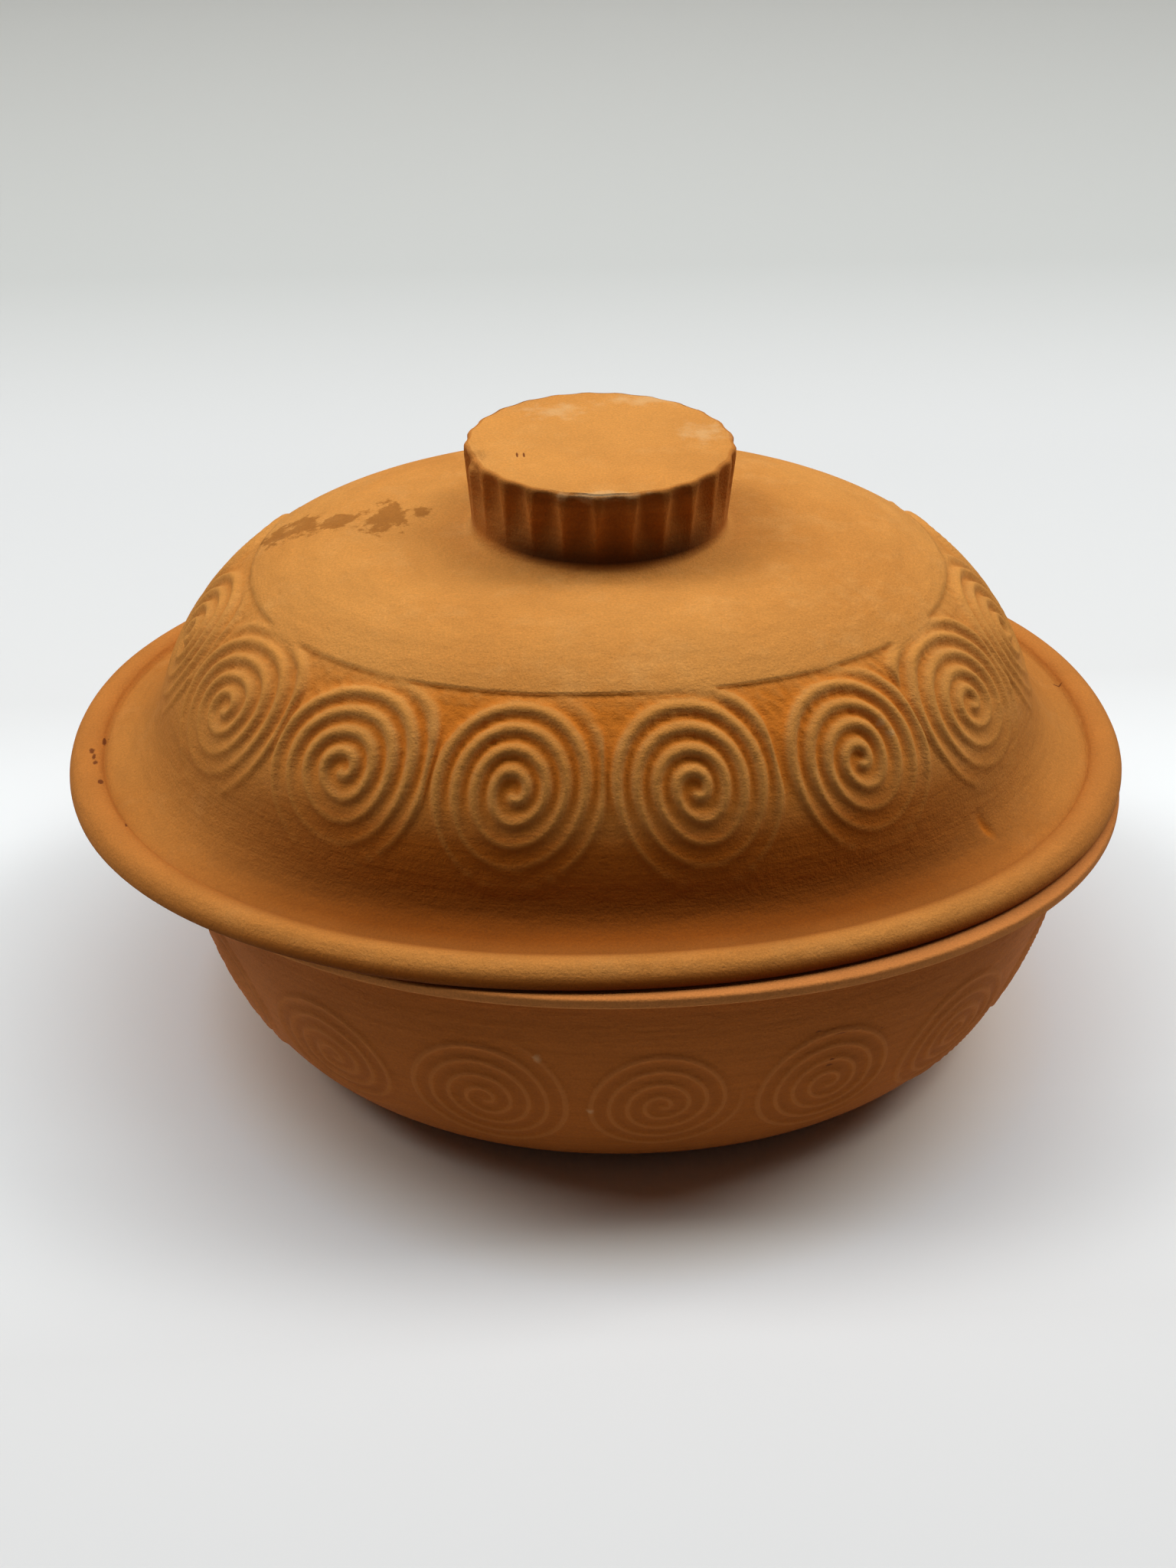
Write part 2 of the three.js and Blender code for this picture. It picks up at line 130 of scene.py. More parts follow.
DENT_DEPTH = 1.1

# Base, in millimetres above the middle of its foot
BASE_RIM = np.array([154.6, 126, 88, RIM_FULLNESS])
BASE_LIP_EDGE = 0.9
BASE_LIP_FACE = 1.7
BASE_LIP_TOP_ROWS = 5
BASE_LIP_FOOT_ROWS = 4
BASE_FLANGE = 0.6
BASE_FLANGE_Z = 84.0
BASE_FLARE_Z = 78.0
BASE_FLARE_STEPS = 6
WALL_TOP = np.array([139.5, 117.5, 72, RIM_FULLNESS])
WALL_OUT = (0.999, 0.62)
WALL_ROWS = 66
FOOT = np.array([82, 73, 0, ROUND])
FOOT_ROWS = [0.56, 0.48, 0.38, 0.25, 0.1, 0.0]
FOOT_MIDDLE = 0.6
BOWL_CURVE = (3.0, 1.55)
BASE_INNER_FOOT = np.array([74, 65, 9, ROUND])
BASE_INNER_MIDDLE = 0.02
BASE_INNER_FLOOR_ROWS = [0.3, 0.65, 1]
BASE_INNER_TOP = np.array([131.5, 109.5, 72, RIM_FULLNESS])
BASE_INNER_WALL_ROWS = [0.35, 0.55, 0.7, 0.82, 0.91, 0.97]

# Carved coils: how many, where the first is, how they wind
LID_COILS = {
    "count": 15, "first": math.radians(-104.2), "sway": 0.057, "pitch": 5.25, "start": 0.6, "begin": -0.35,
    "turns": 4.45, "above": 1.16, "below": 1.22, "crowded": 0.26, "shift": 0.7, "seed": 11,
}
LID_COIL_RING = 0.868
BASE_COILS = {
    "count": 16, "first": math.radians(-89.9), "sway": 0.04, "pitch": 5.25, "start": 0.5, "begin": -0.3,
    "turns": 4.1, "above": 1.12, "below": 0.97, "crowded": 0.0, "shift": 2.6, "seed": 227,
}
BASE_COIL_RING = 0.893
BASE_LINE_HEIGHT = 0.8
BASE_LINE_WIDTH = 0.17

# How far each coil strays from the rest, after its shift and in the order of the draws
COIL_STRAY = {"up": 0.8, "pitch": 0.025, "start": 0.1, "tall": 0.04, "oval": 3, "lobed": 3, "turns": 0.2}
COIL_OVAL = 0.35
COIL_LOBED = 0.22
COIL_WOBBLE_GROWS = (2, 9)
COIL_CROWDED_FROM = 20
COIL_FADES_IN = (-0.15, 0.1)
COIL_FADES_OUT = 0.3

# The lid's carved band, in millimetres up the section from the ring on which its coils lie
PANEL_BORDER = 28.2
PANEL_CHORD = 0.3
PANEL_STEP = 1.3
BORDER_SLOPE = (0.05, 0.5)
BAND_ENDS = (-31, -24)
GROUND_SINKS = (-18, 6)
GROUND_LIFTS = (18, 27)
GROUND_LIFT = 0.4
ROUGH_HEIGHT = 0.3
ROUGH_WAVE = 3.1
ROUGH_GROWS = (-2, 16)
ROUGH_SEED = 8
LINE_LEAST = 0.4
LINE_GAIN = 1.5
LINE_RISES = (-22, 6)
LINE_NARROWS = (4, -14)
LINE_POWER = 0.85
LINE_POWER_GAIN = 1.8
LINE_GAP = 1.2
LINE_STOPS = (5, 1)
SLIDE_ROWS = 12
SLIDE_CLOSE = (0.45, 0.75)

# Handwork: slow waves that draw the clay in
RIPPLE_WAVES = 12
RIPPLE_PACE = (0.7, 1.4)
RIPPLE_GAIN = 1.8
HANDWORK = 0.001
HANDWORK_WAVE = 60.0
LID_SEED = 9
BASE_SEED = 10

# The turn from the ends to the long sides, by |y| as a share of the distance from the axis
LONG_SIDE = (0.35, 0.9)

# Painted shade, and the own edge colour of rim and lip, as shares. On the knob its ranges are shares of the
# way down, on the band millimetres up, in the hollow shares of its rows, and on the rim and the lip rows
KNOB_SHADE = 0.55
KNOB_SHADE_BEGINS = (-0.01, 0.015)
KNOB_SHADE_ENDS = (0.82, 0.95)
KNOB_EDGE_DARK = 0.5
KNOB_EDGE_CLEARS = (0.05, 0.22)
KNOB_DARKENS = (0.35, 0.85)
KNOB_ENDS_DARK = 0.05
FLUTE_DARK = 0.2
BAND_CLEARS = (-18, 0)
BAND_ENDS_SHADE = 0.3
HOLLOW_DARK = 0.42
HOLLOW_DARKENS = (0.1, 0.4)
RIM_EDGE_BEGINS = (-1, 2)
RIM_SIDES_EDGE = 0.65
CREASE_CLEARS = (2, 7.2)
CREASE_DARK = 0.42
CREASE_SHADE = 0.4
CREASE_ENDS_CLEAR = (0, 4)
CREASE_ENDS_SHADE = 0.35
BEAD_REDDENS = (-1, 2.5)
BEAD_DARKENS = (0, 5)
BEAD_DARK = 0.75
BEAD_SHADE = 0.8
BEAD_ENDS_DARK = 0.2
LIP_EDGE_ENDS = (-2, 2)
LIP_SHADE_BEGINS = (-3, 0)
BASE_FIELD_ENDS = (0.8, 1.1)
BASE_FIELD_SHADE = 0.45

# Traces of making and use, in millimetres in the part's frame: middle and half sizes
STAINS = [
    ((-105.8, 27.4, 153.5), (6.5, 8, 6)), ((-97, 27.4, 157.5), (7, 8, 6)), ((-87, 24, 160.5), (7, 6.5, 5)),
    ((-72.5, 21, 162.5), (7.5, 11.5, 5)), ((-62, 23.4, 163.5), (3.5, 4, 4)),
]
PITS = [
    ((-166.4, 1, 96), (0.9, 1.8, 2)), ((-165.5, -2.5, 96), (0.6, 1.8, 2)), ((-164.6, -6, 96), (0.9, 1.4, 2)),
    ((-162.5, 11.5, 95.5), (0.8, 0.9, 2)), ((-163.5, 8, 95.5), (0.5, 2.4, 2)),
    ((-162, -17, 95.5), (0.8, 1.3, 2)), ((-152, -42, 94.5), (0.5, 1.7, 2)), ((145, 24, 95), (1.4, 0.4, 3)),
    ((-33.4, 3.4, 190.1), (0.3, 2, 2)), ((-31.4, 3.4, 190.1), (0.3, 1.8, 2)),
    ((44.3, -112, 63), (1, 2, 0.6)), ((51.5, -110.2, 60.5), (2.2, 2, 0.45)),
    ((64, -105.5, 57.5), (0.9, 2, 0.5)), ((49.3, -109, 50.5), (1.4, 2, 0.6)),
    ((48.8, -107.8, 47.5), (1.1, 2, 0.5)), ((48.8, -106.3, 43.5), (0.9, 2, 0.5)),
]
SCUFFS = [
    ((63.9, -69.9, 138.7), (1.7, 2, 1.7)), ((67.1, -71.2, 135.5), (1.6, 2, 1.8)),
    ((23, 17, 190.1), (9, 8, 3)), ((-20.3, -111.6, 37.3), (1.5, 2, 1.5)),
    ((-35.4, -113.5, 58.9), (1.7, 2, 1.6)), ((8, 43, 190.1), (16, 5, 3)),
    ((-12, -25.5, 190.1), (14, 2, 3)), ((-20, 36, 190.1), (12, 6, 3)),
]

# Colours of the clay. Body to Shade go into the clay group, HollowShade and Worn into the carving group.
# Shade and HollowShade are painted shade, for shaded clay and for carved hollows.
CLAY_COLORS = ("Body", "Deep", "Pale", "Edge", "Shade")
CARVING_COLORS = ("HollowShade", "Worn")
LID_COLORS = {
    "Body": (0.64, 0.275, 0.06, 1), "Deep": (0.58, 0.225, 0.042, 1), "Pale": (0.69, 0.33, 0.09, 1),
    "Edge": (0.55, 0.2, 0.038, 1), "Shade": (0.4, 0.1, 0.006, 1),
    "HollowShade": (0.66, 0.185, 0.011, 1), "Worn": (0.66, 0.28, 0.055, 1),
}
BASE_COLORS = {
    "Body": (0.62, 0.215, 0.062, 1), "Deep": (0.56, 0.185, 0.048, 1), "Pale": (0.67, 0.25, 0.08, 1),
    "Edge": (0.58, 0.21, 0.05, 1), "Shade": (0.42, 0.12, 0.018, 1),
    "HollowShade": (0.3, 0.085, 0.014, 1), "Worn": (0.6, 0.21, 0.052, 1),
}
PAINTED_DARK_TINT = (0.12, 0.115, 0.12, 1)
STAIN_TINT = (0.62, 0.55, 0.45, 1)
SCUFF_COLOR = (0.74, 0.5, 0.25, 1)
SCUFF_SHARE = 0.35
PIT_COLOR = (0.2, 0.055, 0.012, 1)
HOLLOW_SHADE_SHARE = 0.85
HOLLOW_SHADE_RELIEF = (-0.1, -1.1)
WORN_SHARE = 0.35
WORN_RELIEF = (0.15, 0.6)

# Grain of the clay: its scale in waves to the metre, the range of the noise, and what that becomes
CLOUDS = 14
CLOUD_RANGE = (0.42, 0.68)
PATCHES = 55
PATCH_RANGE = (0.5, 0.72)
PATCH_SHARE = 0.6
GRAIN = 1500
GRAIN_RANGE = (0.3, 0.7)
GRAIN_TONES = (0.86, 1.12)
GRAIN_ROUGH_RANGE = (0.2, 0.8)
GRAIN_ROUGHNESS = (0.8, 0.98)
WIPING = 40
WIPING_STRETCH = (1, 1, 12)
WIPING_RANGE = (0.3, 0.7)
WIPING_TONES = (0.92, 1.07)
RAGGED = 190
RAGGED_RANGE = (0.25, 0.75)
RAGGED_REACH = 0.8
STAIN_SOFT = 0.7
PIT_SOFT = 0.6
SCUFF_SOFT = 0.1
GRIT = 1300
LUMPS = 260
LUMP_WEIGHT = 1.5
GRIT_STRENGTH = 0.6
GRIT_DEPTH = 0.0005
CLAY_SHINE = 0.12

# Paper under and behind the object, in metres
PAPER_HALF_WIDTH = 3.0
PAPER_FRONT = [-3.0, -1.0, 0.0]
PAPER_BACK = 0.42
PAPER_BEND = 0.22
PAPER_BEND_ROWS = 24
PAPER_TOP = 2.6
PAPER_COLUMNS = 9
# Seen colours of the paper, painted light and shade: lighter and cooler near the object against the clay's
# reddish bounce, darker to the front and back, the bend and the wall toned to even out the lamps' falloff
FLOOR_MIDDLE = (0.94, 0.975, 0.985, 1)
FLOOR_FRONT = (0.79, 0.8, 0.8, 1)
FLOOR_FRONT_Y = (-0.07, -0.16)
FLOOR_BACK = (0.8, 0.815, 0.815, 1)
FLOOR_BACK_Y = (0.1, 0.2)
BEND_COLOR = (0.69, 0.71, 0.69, 1)
BEND_Z = (0.0, 0.055)
WALL_COLOR = (0.79, 0.805, 0.77, 1)
WALL_Z = (0.055, 0.17)
PAINTED_BOUNCE = (1, 0.92, 0.8, 1)
PAINTED_BOUNCE_REACH = (0.145, 0.112)
LIT_NEAR = (0.8, 0.8, 0.8, 1)
LIT_FAR = (0.12, 0.12, 0.12, 1)
LIT_REACH = (0.2, 0.5)
PAPER_ROUGHNESS = 0.9
PAPER_SHINE = 0.1

# Lamps: place, aim and size in metres, power in watts
LAMPS = {
    "overhead": ((0.0, 0.13, 1.5), (0.0, 0.0, 0.0), (2.2, 0.8), 15),
    "left": ((-1.05, 0.16, 1.3), (0.0, 0.0, 0.05), (0.6, 0.9), 9.2),
    "right": ((1.05, 0.16, 1.3), (0.0, 0.0, 0.05), (0.6, 0.9), 10.2),
}
ROOM_COLOR = (0.97, 1, 0.97, 1)
ROOM_LIGHT = 0.02
ROOM_SEEN = 0.62

# Camera: place in metres, turns in degrees, focal length as a share of the picture's height
CAMERA_PLACE = (-0.0617, -0.5859, 0.4467)
CAMERA_TURN = -4.84
CAMERA_TILT = 32.11
CAMERA_ROLL = 0.45
CAMERA_FOCUS = 2840 / 2048
CAMERA_NEAR = 0.01
SENSOR_HEIGHT = 36.0


def smooth(low, high, value):
    """An S-curve from 0 at low to 1 at high: 3 s^2 - 2 s^3 with s the share of the way, held at both ends."""
    share = np.clip((value - low) / (high - low), 0, 1)
    return share * share * (3 - 2 * share)


def ripple(points, wavelength, seed):
    """Smooth noise of about -1 to 1: the mean of sine waves that run in random directions, times a gain."""
    rng = np.random.default_rng(seed)
    ways = rng.normal(size=(RIPPLE_WAVES, 3))
    lengths = np.linalg.norm(ways, axis=1, keepdims=True)
    ways *= TURN / wavelength * rng.uniform(*RIPPLE_PACE, (RIPPLE_WAVES, 1)) / lengths
    return RIPPLE_GAIN * np.sin(points @ ways.T + rng.uniform(0, TURN, RIPPLE_WAVES)).mean(axis=-1)


def mixed(first, last, share):
    """Rings part of the way from one to another: each measure is first (1 - share) + last share."""
    share = np.asarray(share, dtype=float)[:, None]
    return first * (1 - share) + last * share


def bent(first, bend, last, steps):
    """Rings along a quadratic curve that leaves the first ring towards the bend and reaches the last from it:
    first (1 - t)^2 + bend 2 t (1 - t) + last t^2. The two ends are left out."""
    t = (np.arange(1, steps) / steps)[:, None]
    return first * (1 - t) ** 2 + bend * 2 * t * (1 - t) + last * t ** 2


def rounded(outer, radius, rows, start, end):
    """Rings round an edge: inset = radius (1 - cos a), rise = radius sin a, with a from start to end, both in
    half turns."""
    a = np.linspace(start, end, rows) * math.pi
    inset = radius * (1 - np.cos(a))
    rings = np.repeat(outer[None], rows, axis=0)
    rings[:, 0] -= inset
    rings[:, 1] -= inset
    rings[:, 2] += radius * np.sin(a)
    return rings


def circles(radii, heights):
    """Round rings from lists of radii and heights."""
    radii, heights = np.broadcast_arrays(np.asarray(radii, float), np.asarray(heights, float))
    return np.stack([radii, radii, heights, np.full(radii.shape, ROUND)], axis=1)


def arched(top, foot, curve, out):
    """Rings of a flat-topped arch: the outline runs straight from top to foot with out, and the height keeps
    the share (1 - out^across)^(1 / up) of its way. A foot above the top turns the arch upside down."""
    out = np.asarray(out, dtype=float)
    across, up = curve
    rings = mixed(top, foot, out)
    kept = (1 - np.clip(out, 0, 1) ** across) ** (1 / up)
    rings[:, 2] = foot[2] + (top[2] - foot[2]) * kept
    return rings


def dome(out):
    """The lid's outside, an arch from the crown to the dome's foot."""
    return arched(CROWN, DOME_FOOT, DOME_CURVE, out)


def bowl(out):
    """The base's outside, an arch upside down from the foot to the wall's top."""
    return arched(FOOT, WALL_TOP, BOWL_CURVE, out)


def rows_by_length(family, first, last, rows):
    """Parameters of evenly spaced rings: the section at the front is measured and cut into equal lengths."""
    fine = np.linspace(first, last, SECTION_SAMPLES)
    section = family(fine)[:, 1:3]
    run = np.concatenate([[0], np.cumsum(np.linalg.norm(np.diff(section, axis=0), axis=1))])
    return np.interp(np.linspace(0, run[-1], rows), run, fine)


def grid(rings, columns):
    """Points of oval rings: x = a r cos t, y = b r sin t with r = (|cos t|^n + |sin t|^n)^(-1/n)."""
    t = np.arange(columns) * TURN / columns
    c, s = np.cos(t)[None], np.sin(t)[None]
    a, b, z, n = (rings[:, i, None] for i in range(4))
    r = (np.abs(c) ** n + np.abs(s) ** n) ** (-1 / n)
    return np.stack([a * r * c, b * r * s, z + 0 * c], axis=2)


def pole(z):
    """A single point on the axis, which closes a stack of rings."""
    return np.array([[[0.0, 0.0, z]]])


def normals(points):
    """Unit normals of closed rings: the cross product of the steps down the grid and along it."""
    along = np.roll(points, -1, axis=1) - np.roll(points, 1, axis=1)
    down = np.gradient(points, axis=0)
    across = np.cross(down, along)
    return across / np.linalg.norm(across, axis=2, keepdims=True)


def radius_of(points):
    """Distance from the axis: the root of x^2 + y^2."""
    return np.hypot(points[..., 0], points[..., 1])


def long_side(points):
    """1 on the two long sides, 0 at the two ends: an S-curve over |y| / distance from the axis."""
    return smooth(*LONG_SIDE, np.abs(points[..., 1]) / radius_of(points))


def toned(least, share):
    """A share that runs from the least to 1 while the given one runs from 0 to 1."""
    return least + (1 - least) * share


def handmade(points, seed):
    """Draws the points in towards the axis by up to a fifth of a percent, in slow waves."""
    points = points.copy()
    wave = np.clip(ripple(points, HANDWORK_WAVE, seed), -1, 1)
    points[..., :2] *= 1 - HANDWORK * (1 + wave)[..., None]
    return points


def coil_field(points, home, coils):
    """Gives each grid point the coil it is nearest to, its place in that coil's field, and the field's width.

    Along the home ring the whole length is cut into equal fields, counted from the first coil's angle and
    swayed by a sine so that the fields in front are a little wider. Across is the distance along the ring
    from the field's middle, up the distance along the section from the home ring, both in millimetres.
    """
    count = coils["count"]
    step = np.linalg.norm(np.roll(points[home], -1, axis=0) - points[home], axis=1)
    run = np.cumsum(step) - step
    column = (coils["first"] / TURN % 1) * len(run)
    place = (run - np.interp(column, np.arange(len(run)), run)) / step.sum() * count
    place = place - coils["sway"] * np.sin(place * TURN / count)
    index = np.rint(place).astype(int)
    girth = np.linalg.norm(np.roll(points, -1, axis=1) - points, axis=2).sum(axis=1)[:, None]
    width = girth / count
    down = np.linalg.norm(np.diff(points, axis=0), axis=2)
    fall = np.concatenate([np.zeros((1, points.shape[1])), np.cumsum(down, axis=0)])
    return index % count, (place - index)[None] * width, fall[home] - fall, width


def coil_lines(index, across, up, coils, line):
    """A coil that unwinds anticlockwise: v = distance / pitch - angle / turn - start is whole on the line.

    The line function gives the height over the share of a pitch from the line's middle, and the height on
    the piece. The line begins and ends after the turns given. Each coil has its own small shift, pitch,
    start, stretch, turns and wobble, which is a sine of twice and of three times the angle.
    Returns the line's height from 0 to 1.
    """
    rng = np.random.default_rng(coils["seed"])
    stray = {"across": coils["shift"], **COIL_STRAY}
    own = {key: most * rng.uniform(-1, 1, coils["count"])[index][None] for key, most in stray.items()}
    x = across - own["across"]
    y = up - own["up"]
    y = y / (np.where(y > 0, coils["above"], coils["below"]) + own["tall"])
    y = y + coils["crowded"] * np.clip(y - COIL_CROWDED_FROM, 0, None)
    angle = np.arctan2(y, x)
    reach = np.hypot(x, y)
    wobble = COIL_OVAL * np.sin(2 * angle + own["oval"]) + COIL_LOBED * np.sin(3 * angle + own["lobed"])
    reach = reach + wobble * smooth(*COIL_WOBBLE_GROWS, reach)
    turned = angle / TURN % 1
    v = reach / (coils["pitch"] * (1 + own["pitch"])) - turned - coils["start"] - own["start"]
    whole = np.rint(v)
    wound = whole + turned
    first, full = (coils["begin"] + offset for offset in COIL_FADES_IN)
    last = coils["turns"] + own["turns"]
    shown = smooth(first, full, wound) * (1 - smooth(last - COIL_FADES_OUT, last, wound))
    return line(v - whole, up) * shown


def lid_line(share, up):
    """A rounded line, (1/2 + 1/2 cos)^n over its pitch: n grows down the band, so that the line thins."""
    return (0.5 + 0.5 * np.cos(TURN * share)) ** (LINE_POWER + LINE_POWER_GAIN * smooth(*LINE_NARROWS, up))


def base_line(share, up):
    """A thin low line: e^(-(share / width)^2), the same all the way up."""
    return np.exp(-(share / BASE_LINE_WIDTH) ** 2)


def fluted(points, depth, ridge):
    """Hollows flutes into round rings: a point moves in by depth (1 - (across / (1 - ridge))^2), across from
    -1 to 1 over the flute, and the share called ridge stays up between two flutes."""
    angle = np.arctan2(points[..., 1], points[..., 0]) - FLUTE_TURN
    across = 2 * (angle / TURN * FLUTES % 1) - 1
    hollow = np.clip(1 - (across / (1 - ridge)) ** 2, 0, None)
    radius = radius_of(points)
    points = points.copy()
    points[..., :2] *= (1 - depth * hollow / radius)[..., None]
    return points


def set_back(points):
    """Moves the knob's front back: the share of the way is an S-curve over y, 0 at the knob's back, times an
    S-curve over the height that is 0 at its foot."""
    points = points.copy()
    fore = smooth(KNOB_RADIUS, -KNOB_RADIUS, points[..., 1])
    above = smooth(CROWN[2], CROWN[2] + KNOB_SET_BACK_RISE, points[..., 2])
    points[..., 1] += KNOB_SET_BACK * (fore * above)
    return points


def chipped(points):
    """Takes a flake off the knob's edge: the points near the chip go in and down by e^(-distance^4)."""
    near = np.exp(-np.linalg.norm((points - CHIP) / CHIP_SIZE, axis=2) ** 4)[..., None]
    return points * (1 - near * CHIP_IN) - near * CHIP_DOWN


def joined(starts, counts):
    """Faces between neighbouring rings: quads where the counts agree, three triangles to a coarse step where
    one ring has twice the points of the other, and a fan at a pole."""
    quads, triangles = [], []
    for k in range(len(counts) - 1):
        a, b, n, m = starts[k], starts[k + 1], counts[k], counts[k + 1]
        if n == m:
            i = np.arange(n)
            j = (i + 1) % n
            quads.append(np.stack([a + i, b + i, b + j, a + j], axis=1))
        elif n == 1 or m == 1:
            i = np.arange(max(n, m))
            j = (i + 1) % max(n, m)
            fan = [a + 0 * i, b + i, b + j] if n == 1 else [a + i, b + 0 * i, a + j]
            triangles.append(np.stack(fan, axis=1))
        elif m == 2 * n:
            i = np.arange(n)
            j = (i + 1) % n
            triangles.append(np.stack([a + i, b + 2 * i, b + 2 * i + 1], axis=1))
            triangles.append(np.stack([a + i, b + 2 * i + 1, a + j], axis=1))
            triangles.append(np.stack([a + j, b + 2 * i + 1, b + 2 * j], axis=1))
        else:
            i = np.arange(m)
            j = (i + 1) % m
            triangles.append(np.stack([a + 2 * i, b + i, a + 2 * i + 1], axis=1))
            triangles.append(np.stack([a + 2 * i + 1, b + i, b + j], axis=1))
            triangles.append(np.stack([a + 2 * i + 1, b + j, a + 2 * j], axis=1))
    return np.concatenate(quads), np.concatenate(triangles)


def skin(name, sections, place, seed):
    """One closed mesh from a stack of grids, set at its place and scaled to metres.

    Each section is a grid and the arrays that its points keep as attributes for the material. An array that
    is not given is zero.
    """
    grids = [points for points, _ in sections]
    counts = [points.shape[1] for points in grids for _ in range(len(points))]
    starts = np.concatenate([[0], np.cumsum(counts)[:-1]])
    points = handmade(np.concatenate([points.reshape(-1, 3) for points in grids]), seed)
    points = (points + np.asarray(place)) * MM
    quads, triangles = joined(starts, counts)
    mesh = bpy.data.meshes.new(name)
    mesh.vertices.add(len(points))
    mesh.vertices.foreach_set("co", points.astype(np.float32).ravel())
    corners = np.concatenate([quads.ravel(), triangles.ravel()]).astype(np.int32)
    mesh.loops.add(len(corners))
    mesh.loops.foreach_set("vertex_index", corners)
    sides = np.concatenate([np.full(len(quads), 4), np.full(len(triangles), 3)])
    mesh.polygons.add(len(sides))
    mesh.polygons.foreach_set("loop_start", (np.cumsum(sides) - sides).astype(np.int32))
    mesh.polygons.foreach_set("use_smooth", np.ones(len(sides), dtype=bool))
    mesh.update(calc_edges=True)
    mesh.validate()
    # painted_shade and painted_dark carry painted shade from the skin to the material
    for key in ("relief", "edge", "painted_shade", "painted_dark"):
        parts = [np.ravel(told.get(key, np.zeros(points.shape[:2]))) for points, told in sections]
        layer = mesh.attributes.new(key, "FLOAT", "POINT")
        layer.data.foreach_set("value", np.concatenate(parts).astype(np.float32))
    piece = bpy.data.objects.new(name, mesh)
    bpy.context.scene.collection.objects.link(piece)
    return piece


def knob_and_panel():
    """The knob from the middle of its flat top down its fluted side, and the plain dome round it.

    A flute is shallow at the top edge, deepest a sixth of the way down and runs out towards the foot, while
    the ridges narrow. On the long sides the second ring is a fine crack under the top's edge. Painted shade
    makes the side darker and redder, and darker still in the crack, under the edge, in the flutes and low
    down, most on the long sides.
    """
    flat_end = KNOB_RADIUS - KNOB_EDGE
    edge_z = KNOB_TOP - KNOB_EDGE
    top = circles(KNOB_TOP_ROWS * flat_end, KNOB_TOP)
    edge = rounded(np.array([KNOB_RADIUS, KNOB_RADIUS, edge_z, ROUND]), KNOB_EDGE, KNOB_EDGE_ROWS, 0.5, 0.0)
    edge[1] = edge[0] + CRACK_STEP
    heights = np.linspace(edge_z, CROWN[2] + KNOB_FILLET, KNOB_SIDE_ROWS + 1)[1:]
    side = circles(KNOB_RADIUS - np.linspace(0, KNOB_TAPER, KNOB_SIDE_ROWS), heights)
    foot = dome([KNOB_FILLET_REACH * KNOB_FILLET / (DOME_FOOT[1] - KNOB_RADIUS)])
    bend = side[-1] * [1, 1, 0, 1] + [0, 0, CROWN[2], 0]
    fillet = bent(side[-1], bend, foot[0], KNOB_FILLET_STEPS)
    walls = np.concatenate([edge, side, fillet])
    drop = ((KNOB_TOP - walls[:, 2]) / (KNOB_TOP - CROWN[2]))[:, None]
    depth = FLUTE_DEPTH * toned(FLUTE_TOP_SHARE, smooth(*FLUTE_DEEPENS, drop))
    depth = depth * (1 - smooth(*FLUTE_RUNS_OUT, drop))
    ridge = RIDGE_SHARE * (1 - smooth(*RIDGE_NARROWS, drop)) + RIDGE_LEAST
    plain_side = grid(walls, PLAIN)
    knob_side = fluted(plain_side, depth, ridge)
    cut = (radius_of(plain_side) - radius_of(knob_side)) / FLUTE_DEPTH
    facing = long_side(knob_side)
    shown = smooth(*KNOB_SHADE_BEGINS, drop) * (1 - smooth(*KNOB_SHADE_ENDS, drop))
    under_edge = KNOB_EDGE_DARK * (1 - smooth(*KNOB_EDGE_CLEARS, drop)) * facing
    low = smooth(*KNOB_DARKENS, drop) * toned(KNOB_ENDS_DARK, facing)
    painted_dark = shown * np.clip(np.maximum(under_edge, low) + FLUTE_DARK * cut, 0, 1)
    painted_shade = np.broadcast_to(KNOB_SHADE * shown, painted_dark.shape)
    crack = smooth(*CRACK_OPENS, ripple(knob_side[1], CRACK_WAVE, CRACK_SEED)) * facing[1]
    knob_side[1, :, 2] -= CRACK_DEPTH * crack
    painted_dark[:2] = crack
    top_depth = depth[:1] * (top[:, :1] / flat_end) ** FLUTE_TOP_POWER
    flat = fluted(grid(top, INSIDE), top_depth, ridge[:1])
    panel = grid(np.concatenate([foot, dome(PANEL_ROWS)]), PLAIN)
    return [
        (pole(KNOB_TOP), {}),
        (chipped(set_back(flat)), {}),
        (chipped(set_back(knob_side)), {"painted_shade": painted_shade, "painted_dark": painted_dark}),
        (panel, {}),
    ]


def dome_and_hollow(outs, ends):
    """Points from the panel down the dome, then along a hollow curve out to the rim's foot ring.

    The ends are the shares of the way from rim to dome at which the curve bends and ends. A section with more
    rows on the dome has fewer on the curve, so that all have the same number.
    """
    bend, foot = mixed(LID_RIM, DOME_FOOT, ends)
    bend[2], foot[2] = HOLLOW_BEND_Z, HOLLOW_FOOT_Z
    rings = dome(outs)
    curve = bent(rings[-1], bend, foot, DOME_ROWS + HOLLOW_ROWS - len(outs))
    return grid(np.concatenate([rings, curve]), FINE)


def slid(points, row, amount):
    """Slides the points of each column along the section by the amount, in rows: most at the row given, less
    in even steps up to the first row and a dozen rows down. The next two rows are drawn close to the row."""
    rows = np.arange(len(points))[:, None]
    near = np.where(rows < row, rows / row, np.clip(1 - (rows - row) / SLIDE_ROWS, 0, 1))
    target = rows + amount[None] * near
    for after, close in enumerate(SLIDE_CLOSE, start=1):
        target[row + after] = target[row] + close * (target[row + after] - target[row])
    low = np.clip(target.astype(int), 0, len(points) - 2)
    share = (target - low)[..., None]
    column = np.arange(points.shape[1])[None]
    return points[low, column] * (1 - share) + points[low + 1, column] * share


